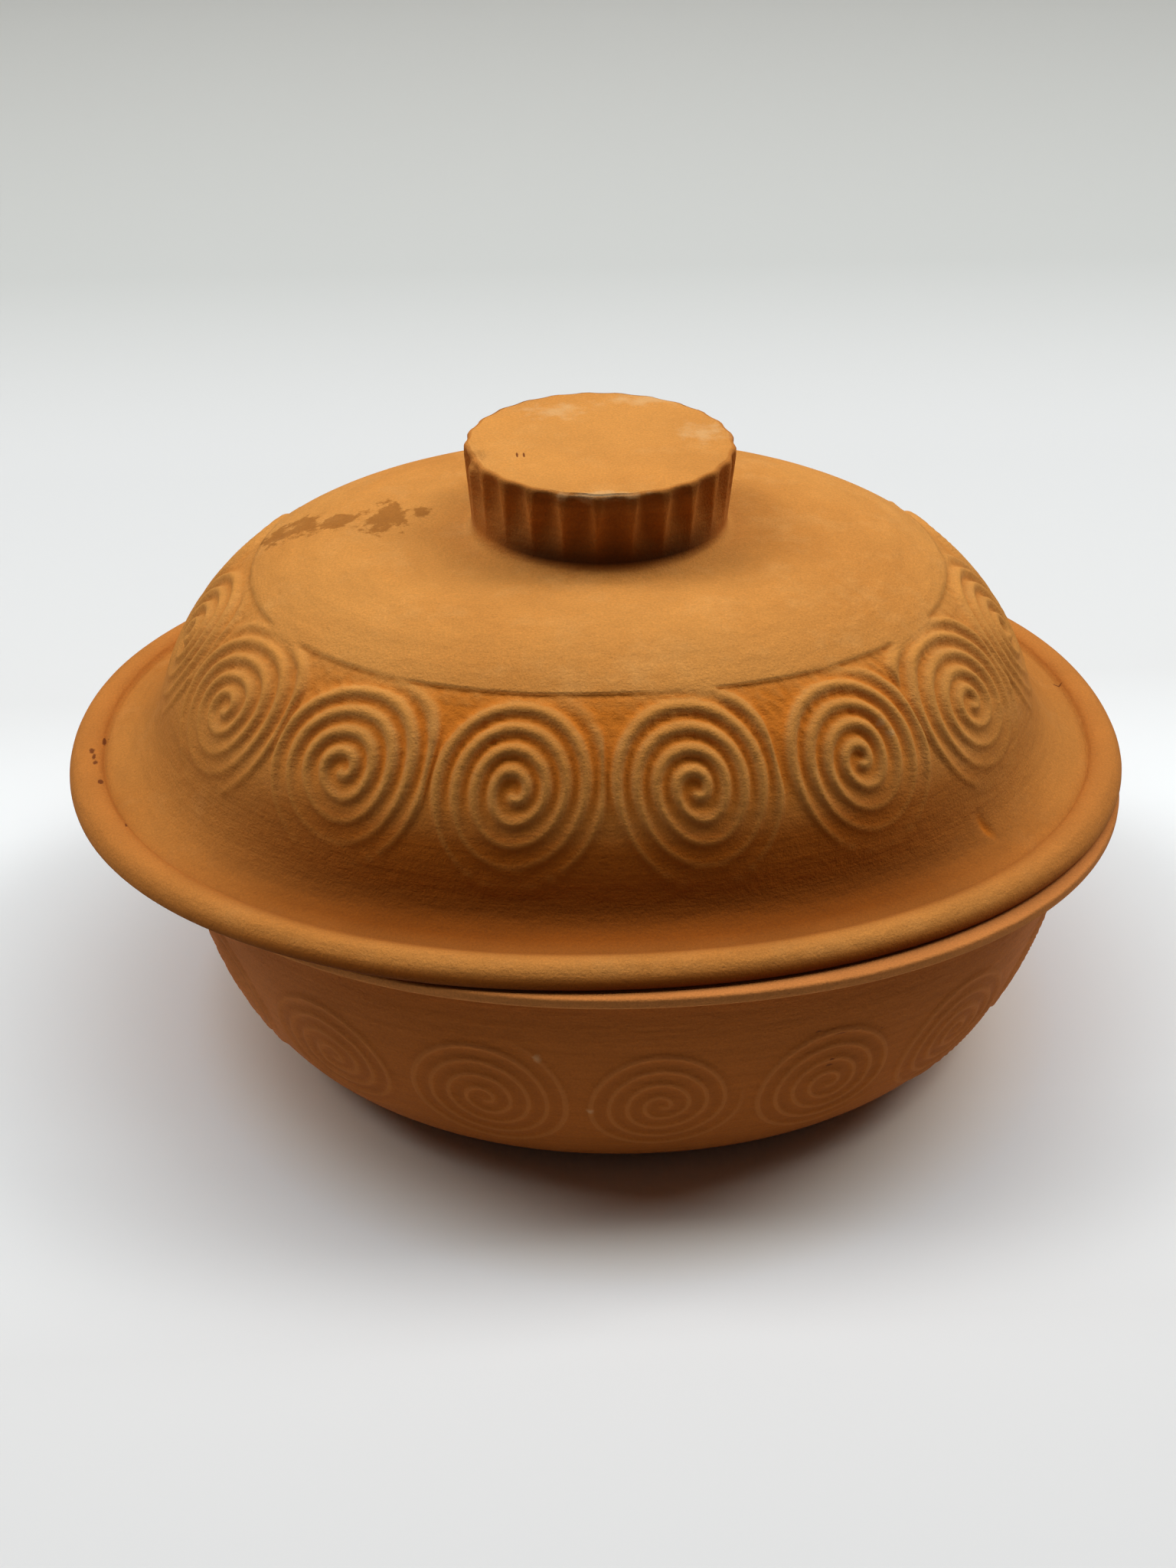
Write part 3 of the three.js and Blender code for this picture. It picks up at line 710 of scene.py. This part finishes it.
def panel_border(share):
    """Height of the panel's lower border: it dips to each coil's top and rises between them as q (2 - q)."""
    q = np.abs(2 * share)
    return PANEL_BORDER + PANEL_CHORD * q * (2 - q)


def dented(points):
    """1 in the dent and 0 away from it: e^(-(along / length)^4 - (aside / width)^2) about a short line."""
    away = points - DENT
    along = away @ DENT_WAY
    aside = np.linalg.norm(away - along[..., None] * DENT_WAY, axis=2)
    return np.exp(-(along / DENT_LENGTH) ** 4 - (aside / DENT_WIDTH) ** 2)


def lid_band():
    """The lid's carved band and the hollow under it: the plain surface, moved along its normals by a relief.

    The hollow is tight along the sides and broad at the ends. Above the border the panel stays plain. Below
    it the ground drops by the panel's step and comes back to the dome further down. On it lie the coils, high
    at the top and low towards the rim. One row of points is slid on to the border, so that its edge is sharp.
    """
    outs = rows_by_length(dome, *BAND_OUT, DOME_ROWS)
    home = int(np.argmin(np.abs(outs - LID_COIL_RING)))
    outs[home] = LID_COIL_RING
    tight = dome_and_hollow(np.append(outs, SIDE_ROWS), SIDE_HOLLOW)
    broad = dome_and_hollow(outs, END_HOLLOW)
    side = long_side(broad[home])
    points = broad + (tight - broad) * side[None, :, None]
    _, across, up, width = coil_field(points, home, LID_COILS)
    border = panel_border(across / width)
    over = np.sum(up > border, axis=0)
    column = np.arange(FINE)
    above, below = up[over - 1, column], up[over, column]
    crossing = over - 1 + (above - border[over, column]) / (above - below)
    middle = int(np.rint(crossing.mean()))
    points = slid(points, middle, crossing - middle)
    index, across, up, width = coil_field(points, home, LID_COILS)
    under_border = panel_border(across / width) - up
    lines = coil_lines(index, across, up, LID_COILS, lid_line)
    lines = lines * smooth(0, LINE_GAP, width / 2 - np.abs(across))
    ground = -PANEL_STEP * smooth(*GROUND_SINKS, up) * (1 - GROUND_LIFT * smooth(*GROUND_LIFTS, up))
    rough = ROUGH_HEIGHT * ripple(points, ROUGH_WAVE, ROUGH_SEED) * smooth(*ROUGH_GROWS, up)
    height = LINE_LEAST + LINE_GAIN * smooth(*LINE_RISES, up)
    relief = ground + rough * (1 - lines) + height * lines
    relief = relief - np.maximum(relief, 0) * smooth(*LINE_STOPS, under_border)
    relief = relief * smooth(*BORDER_SLOPE, under_border) * smooth(*BAND_ENDS, up)
    dent = dented(points)
    points = points + normals(points) * (relief - DENT_DEPTH * dent)[..., None]
    # Painted shade: low on the band and in the hollow the clay is painted redder and darker, most on the long
    # sides, and the relief's hollows, the dent among them, are told for painted shade with the same weight
    fallen = np.clip(np.arange(len(points)) - DOME_ROWS, 0, None)[:, None] / HOLLOW_ROWS
    shade = toned(BAND_ENDS_SHADE, side)
    painted_shade = (1 - smooth(*BAND_CLEARS, up)) * shade
    painted_dark = HOLLOW_DARK * smooth(*HOLLOW_DARKENS, fallen) * side
    carved = np.maximum(relief, 0) + np.minimum(relief, 0) * shade
    return points, {"relief": carved - dent, "painted_shade": painted_shade, "painted_dark": painted_dark}


def lid_rim_and_inside():
    """The rim's crease and bead, the seat, and the plain inside up to the knob's hollow.

    Painted shade makes the clay darker and redder in the crease and where the bead turns down, most on the
    long sides.
    """
    crease, swell_bend = mixed(LID_RIM, DOME_FOOT, [RIM_CREASE, RIM_SWELL])
    crease[2], swell_bend[2] = RIM_CREASE_Z, RIM_SWELL_Z
    upper = rounded(LID_RIM, LID_RIM_TOP_RADIUS, LID_RIM_TOP_ROWS, 0.5, 0.0)
    lower = rounded(LID_RIM, LID_RIM_FOOT_RADIUS, LID_RIM_FOOT_ROWS, -0.125, -0.5)
    swell = bent(crease, swell_bend, upper[0], RIM_SWELL_STEPS)
    outside = grid(np.concatenate([crease[None], swell, upper, lower]), PLAIN)
    facing = long_side(outside)
    outside[0, :, 2] -= RIM_CREASE_DEPTH * (1 - facing[0])
    row = np.arange(len(outside))[:, None]
    past_bead = row - (2 + len(swell) + len(upper) // 2)
    in_crease = (1 - smooth(*CREASE_CLEARS, row)) * facing
    at_ends = (1 - smooth(*CREASE_ENDS_CLEAR, row)) * (1 - facing)
    turned_down = smooth(*BEAD_REDDENS, past_bead) * facing
    edge = smooth(*RIM_EDGE_BEGINS, row) * (1 - RIM_SIDES_EDGE * facing)
    painted_dark = BEAD_DARK * smooth(*BEAD_DARKENS, past_bead) * toned(BEAD_ENDS_DARK, facing)
    painted_dark = painted_dark + CREASE_DARK * in_crease
    painted_shade = np.maximum(BEAD_SHADE * painted_dark, turned_down) + CREASE_SHADE * in_crease + CREASE_ENDS_SHADE * at_ends
    lip = LID_MOUTH + [MOUTH_EDGE, MOUTH_EDGE, -MOUTH_EDGE, 0]
    inner = arched(LID_INNER_CROWN, LID_MOUTH, DOME_CURVE, LID_INNER_ROWS)
    inner_z = LID_INNER_CROWN[2]
    knob_hollow = circles(
        [KNOB_HOLLOW + MOUTH_EDGE, KNOB_HOLLOW, KNOB_HOLLOW, KNOB_HOLLOW - MOUTH_EDGE],
        [inner_z, inner_z + MOUTH_EDGE, KNOB_HOLLOW_TOP - MOUTH_EDGE, KNOB_HOLLOW_TOP],
    )
    inside = grid(np.concatenate([lip[None], inner, knob_hollow]), INSIDE)
    return [
        (outside, {"edge": edge, "painted_shade": painted_shade, "painted_dark": painted_dark}),
        (inside, {}),
        (pole(KNOB_HOLLOW_TOP), {}),
    ]


def make_lid():
    """The lid's skin from the knob's top down to its rim and up the inside, set in the CAD lid's box."""
    low, high = (np.array(corner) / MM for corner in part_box("lid"))
    place = [(low[0] + high[0]) / 2, (low[1] + high[1]) / 2, low[2]]
    sections = knob_and_panel() + [lid_band()] + lid_rim_and_inside()
    return skin("lid_shell", sections, place, LID_SEED)


def base_band():
    """The base's wall: the plain bowl, moved along its normals by the thin raised lines of the coils."""
    outs = rows_by_length(bowl, *WALL_OUT, WALL_ROWS)
    home = int(np.argmin(np.abs(outs - BASE_COIL_RING)))
    outs[home] = BASE_COIL_RING
    points = grid(bowl(outs), FINE)
    index, across, up, _ = coil_field(points, home, BASE_COILS)
    lines = coil_lines(index, across, up, BASE_COILS, base_line)
    coil_radius = BASE_COILS["pitch"] * BASE_COILS["turns"]
    # Painted shade: the field round each coil is told as a hollow, so that it is painted darker between the
    # lines, and the long sides are painted in shade
    carved = 1 - smooth(*BASE_FIELD_ENDS, np.hypot(across, up) / coil_radius)
    points = points + normals(points) * BASE_LINE_HEIGHT * lines[..., None]
    relief = lines - BASE_FIELD_SHADE * carved * (1 - lines)
    return points, {"relief": relief, "painted_shade": long_side(points)}


def make_base():
    """The base's skin from the middle of its floor up the inside, over the lip and down to its foot."""
    floor = mixed(BASE_INNER_FOOT * [BASE_INNER_MIDDLE, BASE_INNER_MIDDLE, 1, 1], BASE_INNER_FOOT,
                  BASE_INNER_FLOOR_ROWS)
    wall = arched(BASE_INNER_FOOT, BASE_INNER_TOP, BOWL_CURVE, BASE_INNER_WALL_ROWS)
    rise = BASE_RIM[2] - BASE_INNER_TOP[2]
    mouth = BASE_INNER_TOP + np.array([
        [0, 0, 0, 0], [0, 0, rise - MOUTH_EDGE, 0], [MOUTH_EDGE, MOUTH_EDGE, rise, 0],
    ])
    inside = grid(np.concatenate([floor, wall, mouth]), INSIDE)
    top_edge = BASE_RIM - [0, 0, BASE_LIP_EDGE, 0]
    low_edge = top_edge - [0, 0, BASE_LIP_FACE, 0]
    lip = np.concatenate([
        rounded(top_edge, BASE_LIP_EDGE, BASE_LIP_TOP_ROWS, 0.5, 0.0),
        rounded(low_edge, BASE_LIP_EDGE, BASE_LIP_FOOT_ROWS, 0.0, -0.35),
    ])
    flange, bend, flare_end = mixed(BASE_RIM, WALL_TOP, [BASE_FLANGE, 1, 1])
    flange[2], bend[2], flare_end[2] = BASE_FLANGE_Z, BASE_FLANGE_Z, BASE_FLARE_Z
    flare = bent(flange, bend, flare_end, BASE_FLARE_STEPS)
    rim = grid(np.concatenate([lip, flange[None], flare, flare_end[None]]), PLAIN)
    past_lip = np.arange(len(rim))[:, None] - len(lip)
    edge = np.broadcast_to(1 - smooth(*LIP_EDGE_ENDS, past_lip), rim.shape[:2])
    under_lip = smooth(*LIP_SHADE_BEGINS, past_lip)
    lower = grid(bowl(FOOT_ROWS), PLAIN)
    under = grid(FOOT[None] * [FOOT_MIDDLE, FOOT_MIDDLE, 1, 1], INSIDE)
    # Painted shade on the long sides of the wall and the foot, and on the rim under the lip
    sections = [
        (pole(BASE_INNER_FOOT[2]), {}),
        (inside, {}),
        (rim, {"edge": edge, "painted_shade": long_side(rim) * under_lip}),
        base_band(),
        (lower, {"painted_shade": long_side(lower)}),
        (under, {}),
        (pole(0), {}),
    ]
    return skin("base_shell", sections, [0, 0, 0], BASE_SEED)


def put(tree, kind, inputs=None, **settings):
    """Adds a node, sets its properties, and links or fills its inputs by name or number."""
    node = tree.nodes.new(kind)
    for key, value in settings.items():
        setattr(node, key, value)
    for key, value in (inputs or {}).items():
        if isinstance(value, bpy.types.NodeSocket):
            tree.links.new(value, node.inputs[key])
        else:
            node.inputs[key].default_value = value
    return node


def skin_value(tree, name):
    """The value that a skin's points keep under a name."""
    return put(tree, "ShaderNodeAttribute", attribute_name=name).outputs["Fac"]


def own_place(tree):
    """The piece's own coordinates."""
    return put(tree, "ShaderNodeTexCoord").outputs["Object"]


def reckon(tree, operation, first, last):
    """One value from two, by the operation named."""
    return put(tree, "ShaderNodeMath", {0: first, 1: last}, operation=operation).outputs[0]


def reckon_place(tree, operation, first, last):
    """One vector from two, by the operation named."""
    return put(tree, "ShaderNodeVectorMath", {0: first, 1: last}, operation=operation).outputs[0]


def length(tree, vector):
    """The length of a vector."""
    return put(tree, "ShaderNodeVectorMath", {0: vector}, operation="LENGTH").outputs["Value"]


def blend(tree, share, first, last, mode="MIX"):
    """Mixes two colours by a share and gives the resulting colour."""
    node = put(tree, "ShaderNodeMix", {0: share, 6: first, 7: last}, data_type="RGBA", blend_type=mode)
    return node.outputs[2]


def spread(tree, value, low, high, to_low=0.0, to_high=1.0):
    """Maps a value from one range to another, held at both ends."""
    node = put(tree, "ShaderNodeMapRange",
               {"Value": value, "From Min": low, "From Max": high, "To Min": to_low, "To Max": to_high})
    return node.outputs[0]


def noise(tree, scale, detail=4.0, roughness=0.55, stretch=(1, 1, 1)):
    """Noise over the piece's own coordinates, in waves to the metre, times the stretch on each axis."""
    place = reckon_place(tree, "MULTIPLY", own_place(tree), stretch)
    node = put(tree, "ShaderNodeTexNoise",
               {"Vector": place, "Scale": scale, "Detail": detail, "Roughness": roughness})
    return node.outputs[0]


def wiping(tree):
    """Level streaks that wiping leaves: noise that changes faster upwards than along."""
    return noise(tree, WIPING, detail=4, roughness=0.6, stretch=WIPING_STRETCH)


def new_group(name, inputs, outputs):
    """An empty shader group with its named sockets, and its two end nodes."""
    tree = bpy.data.node_groups.new(name, "ShaderNodeTree")
    for label, kind in inputs:
        tree.interface.new_socket(label, in_out="INPUT", socket_type=kind)
    for label, kind in outputs:
        tree.interface.new_socket(label, in_out="OUTPUT", socket_type=kind)
    return tree, tree.nodes.new("NodeGroupInput").outputs, tree.nodes.new("NodeGroupOutput").inputs


def fired_clay_group():
    """Colour of fired clay: a body colour that drifts to a deeper and a paler one in clouds.

    The skin's values edge, painted_shade and painted_dark turn it to the edge's colour, to the painted shade
    colour, and darker as painted shade. Fine grain and level streaks come last.
    """
    tree, given, out = new_group(
        "fired_clay",
        [(key, "NodeSocketColor") for key in CLAY_COLORS],
        [("Color", "NodeSocketColor"), ("Grain", "NodeSocketFloat")],
    )
    clouds = spread(tree, noise(tree, CLOUDS, detail=3), *CLOUD_RANGE)
    color = blend(tree, clouds, given["Body"], given["Deep"])
    patches = noise(tree, PATCHES, detail=5, roughness=0.65)
    patches = spread(tree, patches, *PATCH_RANGE, 0.0, PATCH_SHARE)
    color = blend(tree, patches, color, given["Pale"])
    color = blend(tree, skin_value(tree, "edge"), color, given["Edge"])
    # Painted shade: shaded clay turns redder and darker, then darker still by the tint
    color = blend(tree, spread(tree, skin_value(tree, "painted_shade"), 0.0, 1.0), color, given["Shade"])
    color = blend(tree, spread(tree, skin_value(tree, "painted_dark"), 0.0, 1.0), color, PAINTED_DARK_TINT, "MULTIPLY")
    grain = noise(tree, GRAIN, detail=3, roughness=0.7)
    tone = spread(tree, grain, *GRAIN_RANGE, *GRAIN_TONES)
    color = blend(tree, 1.0, color, tone, "MULTIPLY")
    wiped = spread(tree, wiping(tree), *WIPING_RANGE, *WIPING_TONES)
    color = blend(tree, 1.0, color, wiped, "MULTIPLY")
    tree.links.new(color, out["Color"])
    tree.links.new(grain, out["Grain"])
    return tree


def grit_group():
    """Height of the clay's skin: fine grain, softer lumps, and the level streaks that wiping leaves."""
    tree, given, out = new_group(
        "clay_grit", [("Coarse", "NodeSocketFloat")], [("Height", "NodeSocketFloat")],
    )
    lumps = reckon(tree, "MULTIPLY", noise(tree, LUMPS, detail=3), given["Coarse"])
    total = reckon(tree, "ADD", noise(tree, GRIT, detail=3, roughness=0.7), lumps)
    total = reckon(tree, "ADD", total, wiping(tree))
    tree.links.new(total, out["Height"])
    return tree


def carving_group():
    """Shade of carving: the relief turns hollows towards a painted shade colour and crests towards a worn
    one.
    """
    tree, given, out = new_group(
        "carving_shade",
        [(key, "NodeSocketColor") for key in ("Color", *CARVING_COLORS)],
        [("Color", "NodeSocketColor")],
    )
    relief = skin_value(tree, "relief")
    low = spread(tree, relief, *HOLLOW_SHADE_RELIEF, 0.0, HOLLOW_SHADE_SHARE)
    color = blend(tree, low, given["Color"], given["HollowShade"])
    high = spread(tree, relief, *WORN_RELIEF, 0.0, WORN_SHARE)
    color = blend(tree, high, color, given["Worn"])
    tree.links.new(color, out["Color"])
    return tree


def spot(tree, place, middle, half, rough, soft):
    """A mask that is 1 inside an ellipsoid given in millimetres and 0 outside.

    The distance from its middle in half sizes, plus a rough value that breaks up the edge, is mapped: 1 or
    more gives 0, and the soft value or less gives 1.
    """
    away = reckon_place(tree, "SUBTRACT", place, Vector(middle) * MM)
    share = reckon_place(tree, "DIVIDE", away, Vector(half) * MM)
    return spread(tree, reckon(tree, "ADD", length(tree, share), rough), 1.0, soft)


def marks_group():
    """Masks of the traces of use: stains with ragged edges, pits and scratches, and pale scuffs."""
    masks = (("Stain", STAINS, STAIN_SOFT), ("Pit", PITS, PIT_SOFT), ("Scuff", SCUFFS, SCUFF_SOFT))
    tree, _, out = new_group("clay_marks", [], [(key, "NodeSocketFloat") for key, _, _ in masks])
    place = own_place(tree)
    ragged = noise(tree, RAGGED, detail=5, roughness=0.65)
    ragged = spread(tree, ragged, *RAGGED_RANGE, -RAGGED_REACH, RAGGED_REACH)
    for key, spots, soft in masks:
        total = 0.0
        for middle, half in spots:
            total = reckon(tree, "MAXIMUM", spot(tree, place, middle, half, ragged, soft), total)
        tree.links.new(total, out[key])
    return tree


def clay_material(name, colors, groups):
    """Unglazed clay: the clay group's colour, shaded by the carving, with the grit group's height as bump."""
    material = bpy.data.materials.new(name)
    material.use_nodes = True
    tree = material.node_tree
    surface = tree.nodes["Principled BSDF"]
    body = put(tree, "ShaderNodeGroup", {key: colors[key] for key in CLAY_COLORS}, node_tree=groups["clay"])
    carving = {"Color": body.outputs["Color"], **{key: colors[key] for key in CARVING_COLORS}}
    shade = put(tree, "ShaderNodeGroup", carving, node_tree=groups["carving"])
    marks = put(tree, "ShaderNodeGroup", node_tree=groups["marks"])
    color = blend(tree, marks.outputs["Stain"], shade.outputs["Color"], STAIN_TINT, "MULTIPLY")
    scuff = spread(tree, marks.outputs["Scuff"], 0.0, 1.0, 0.0, SCUFF_SHARE)
    color = blend(tree, scuff, color, SCUFF_COLOR)
    color = blend(tree, marks.outputs["Pit"], color, PIT_COLOR)
    tree.links.new(color, surface.inputs["Base Color"])
    grit = put(tree, "ShaderNodeGroup", {"Coarse": LUMP_WEIGHT}, node_tree=groups["grit"])
    height = {"Height": grit.outputs["Height"], "Strength": GRIT_STRENGTH, "Distance": GRIT_DEPTH}
    bump = put(tree, "ShaderNodeBump", height)
    tree.links.new(bump.outputs["Normal"], surface.inputs["Normal"])
    rough = spread(tree, body.outputs["Grain"], *GRAIN_ROUGH_RANGE, *GRAIN_ROUGHNESS)
    tree.links.new(rough, surface.inputs["Roughness"])
    surface.inputs["Specular IOR Level"].default_value = CLAY_SHINE
    return material


def make_materials():
    """The clay of the lid and that of the base, from the same four groups."""
    groups = {
        "clay": fired_clay_group(), "grit": grit_group(), "carving": carving_group(), "marks": marks_group(),
    }
    return clay_material("lid_clay", LID_COLORS, groups), clay_material("base_clay", BASE_COLORS, groups)


def seen_rays(tree):
    """1 for the rays that show the background: from the camera, off a shine or through something clear."""
    rays = put(tree, "ShaderNodeLightPath").outputs
    seen = reckon(tree, "MAXIMUM", rays["Is Camera Ray"], rays["Is Glossy Ray"])
    return reckon(tree, "MAXIMUM", seen, rays["Is Transmission Ray"])


def paper_material():
    """Pale paper. For the rays that show it, its colour goes by place, with painted light and shade: the
    floor by y, lighter and cooler near the object and darker to the front and back, the bend and the wall by
    height to even out the lamps' falloff, and a painted warm bounce of the clay near the object. For other
    rays it is darker further out.

    From behind and from below the paper is clear, so that it never hides the object.
    """
    material = bpy.data.materials.new("pale_paper")
    material.use_nodes = True
    tree = material.node_tree
    surface = tree.nodes["Principled BSDF"]
    place = own_place(tree)
    parts = put(tree, "ShaderNodeSeparateXYZ", {0: place}).outputs
    away = length(tree, place)
    # Painted light and shade on the paper by place, and a painted warm bounce from the clay near the object
    pale = blend(tree, spread(tree, parts["Y"], *FLOOR_FRONT_Y), FLOOR_MIDDLE, FLOOR_FRONT)
    pale = blend(tree, spread(tree, parts["Y"], *FLOOR_BACK_Y), pale, FLOOR_BACK)
    pale = blend(tree, spread(tree, parts["Z"], *BEND_Z), pale, BEND_COLOR)
    pale = blend(tree, spread(tree, parts["Z"], *WALL_Z), pale, WALL_COLOR)
    pale = blend(tree, spread(tree, away, *PAINTED_BOUNCE_REACH), pale, PAINTED_BOUNCE, "MULTIPLY")
    lit = blend(tree, spread(tree, away, *LIT_REACH), LIT_NEAR, LIT_FAR)
    color = blend(tree, seen_rays(tree), lit, pale)
    tree.links.new(color, surface.inputs["Base Color"])
    surface.inputs["Roughness"].default_value = PAPER_ROUGHNESS
    surface.inputs["Specular IOR Level"].default_value = PAPER_SHINE
    behind = put(tree, "ShaderNodeNewGeometry").outputs["Backfacing"]
    clear = put(tree, "ShaderNodeBsdfTransparent").outputs[0]
    sheet = put(tree, "ShaderNodeMixShader", {0: behind, 1: surface.outputs[0], 2: clear}).outputs[0]
    tree.links.new(sheet, tree.nodes["Material Output"].inputs["Surface"])
    return material


def make_stage():
    """The paper: a flat sheet that turns up in a quarter circle and runs on as a wall."""
    turn = np.linspace(0, math.pi / 2, PAPER_BEND_ROWS)
    y = np.concatenate([PAPER_FRONT, PAPER_BACK + PAPER_BEND * np.sin(turn), [PAPER_BACK + PAPER_BEND]])
    z = np.concatenate([np.zeros(len(PAPER_FRONT)), PAPER_BEND * (1 - np.cos(turn)), [PAPER_TOP]])
    x = np.linspace(-PAPER_HALF_WIDTH, PAPER_HALF_WIDTH, PAPER_COLUMNS)
    points = np.stack(np.broadcast_arrays(x[None], y[:, None], z[:, None]), axis=2).reshape(-1, 3)
    columns = len(x)
    corner = (np.arange(len(y) - 1)[:, None] * columns + np.arange(columns - 1)[None]).ravel()
    faces = np.stack([corner, corner + 1, corner + columns + 1, corner + columns], axis=1)
    mesh = bpy.data.meshes.new("paper_sweep")
    mesh.from_pydata(points.tolist(), [], faces.tolist())
    mesh.polygons.foreach_set("use_smooth", np.ones(len(faces), dtype=bool))
    mesh.materials.append(paper_material())
    sweep = bpy.data.objects.new("paper_sweep", mesh)
    bpy.context.scene.collection.objects.link(sweep)


def soft_light(name, place, aim, size, power):
    """A rectangular lamp at a place, turned towards its aim."""
    lamp = bpy.data.lights.new(name, "AREA")
    lamp.shape = "RECTANGLE"
    lamp.size, lamp.size_y = size
    lamp.energy = power
    holder = bpy.data.objects.new(name, lamp)
    holder.location = place
    holder.rotation_euler = (Vector(aim) - Vector(place)).to_track_quat("-Z", "Y").to_euler()
    bpy.context.scene.collection.objects.link(holder)


def make_light():
    """The lamps, and a room that is pale where it is seen and gives hardly any light."""
    for name, lamp in LAMPS.items():
        soft_light(name, *lamp)
    world = bpy.data.worlds.new("room")
    world.use_nodes = True
    tree = world.node_tree
    background = tree.nodes["Background"]
    background.inputs["Color"].default_value = ROOM_COLOR
    strength = spread(tree, seen_rays(tree), 0.0, 1.0, ROOM_LIGHT, ROOM_SEEN)
    tree.links.new(strength, background.inputs["Strength"])
    bpy.context.scene.world = world


def make_camera():
    """The photograph's view: turned about Z, tilted down, rolled a little about its own axis."""
    camera = bpy.data.cameras.new("camera")
    camera.sensor_fit = "VERTICAL"
    camera.sensor_height = SENSOR_HEIGHT
    camera.lens = SENSOR_HEIGHT * CAMERA_FOCUS
    camera.clip_start = CAMERA_NEAR
    holder = bpy.data.objects.new("camera", camera)
    turn = Matrix.Rotation(math.radians(CAMERA_TURN), 4, "Z")
    tilt = Matrix.Rotation(math.radians(90 - CAMERA_TILT), 4, "X")
    roll = Matrix.Rotation(math.radians(CAMERA_ROLL), 4, "Z")
    holder.matrix_world = Matrix.Translation(CAMERA_PLACE) @ turn @ tilt @ roll
    bpy.context.scene.collection.objects.link(holder)
    bpy.context.scene.camera = holder


make_camera()
lid_clay, base_clay = make_materials()
lid_shell = make_lid()
lid_shell.data.materials.append(lid_clay)
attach(lid_shell, "lid")
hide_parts("lid")
base_shell = make_base()
base_shell.data.materials.append(base_clay)
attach(base_shell, "base")
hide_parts("base")
make_stage()
make_light()

bpy.context.scene.view_settings.view_transform = "Standard"
bpy.context.view_layer.update()
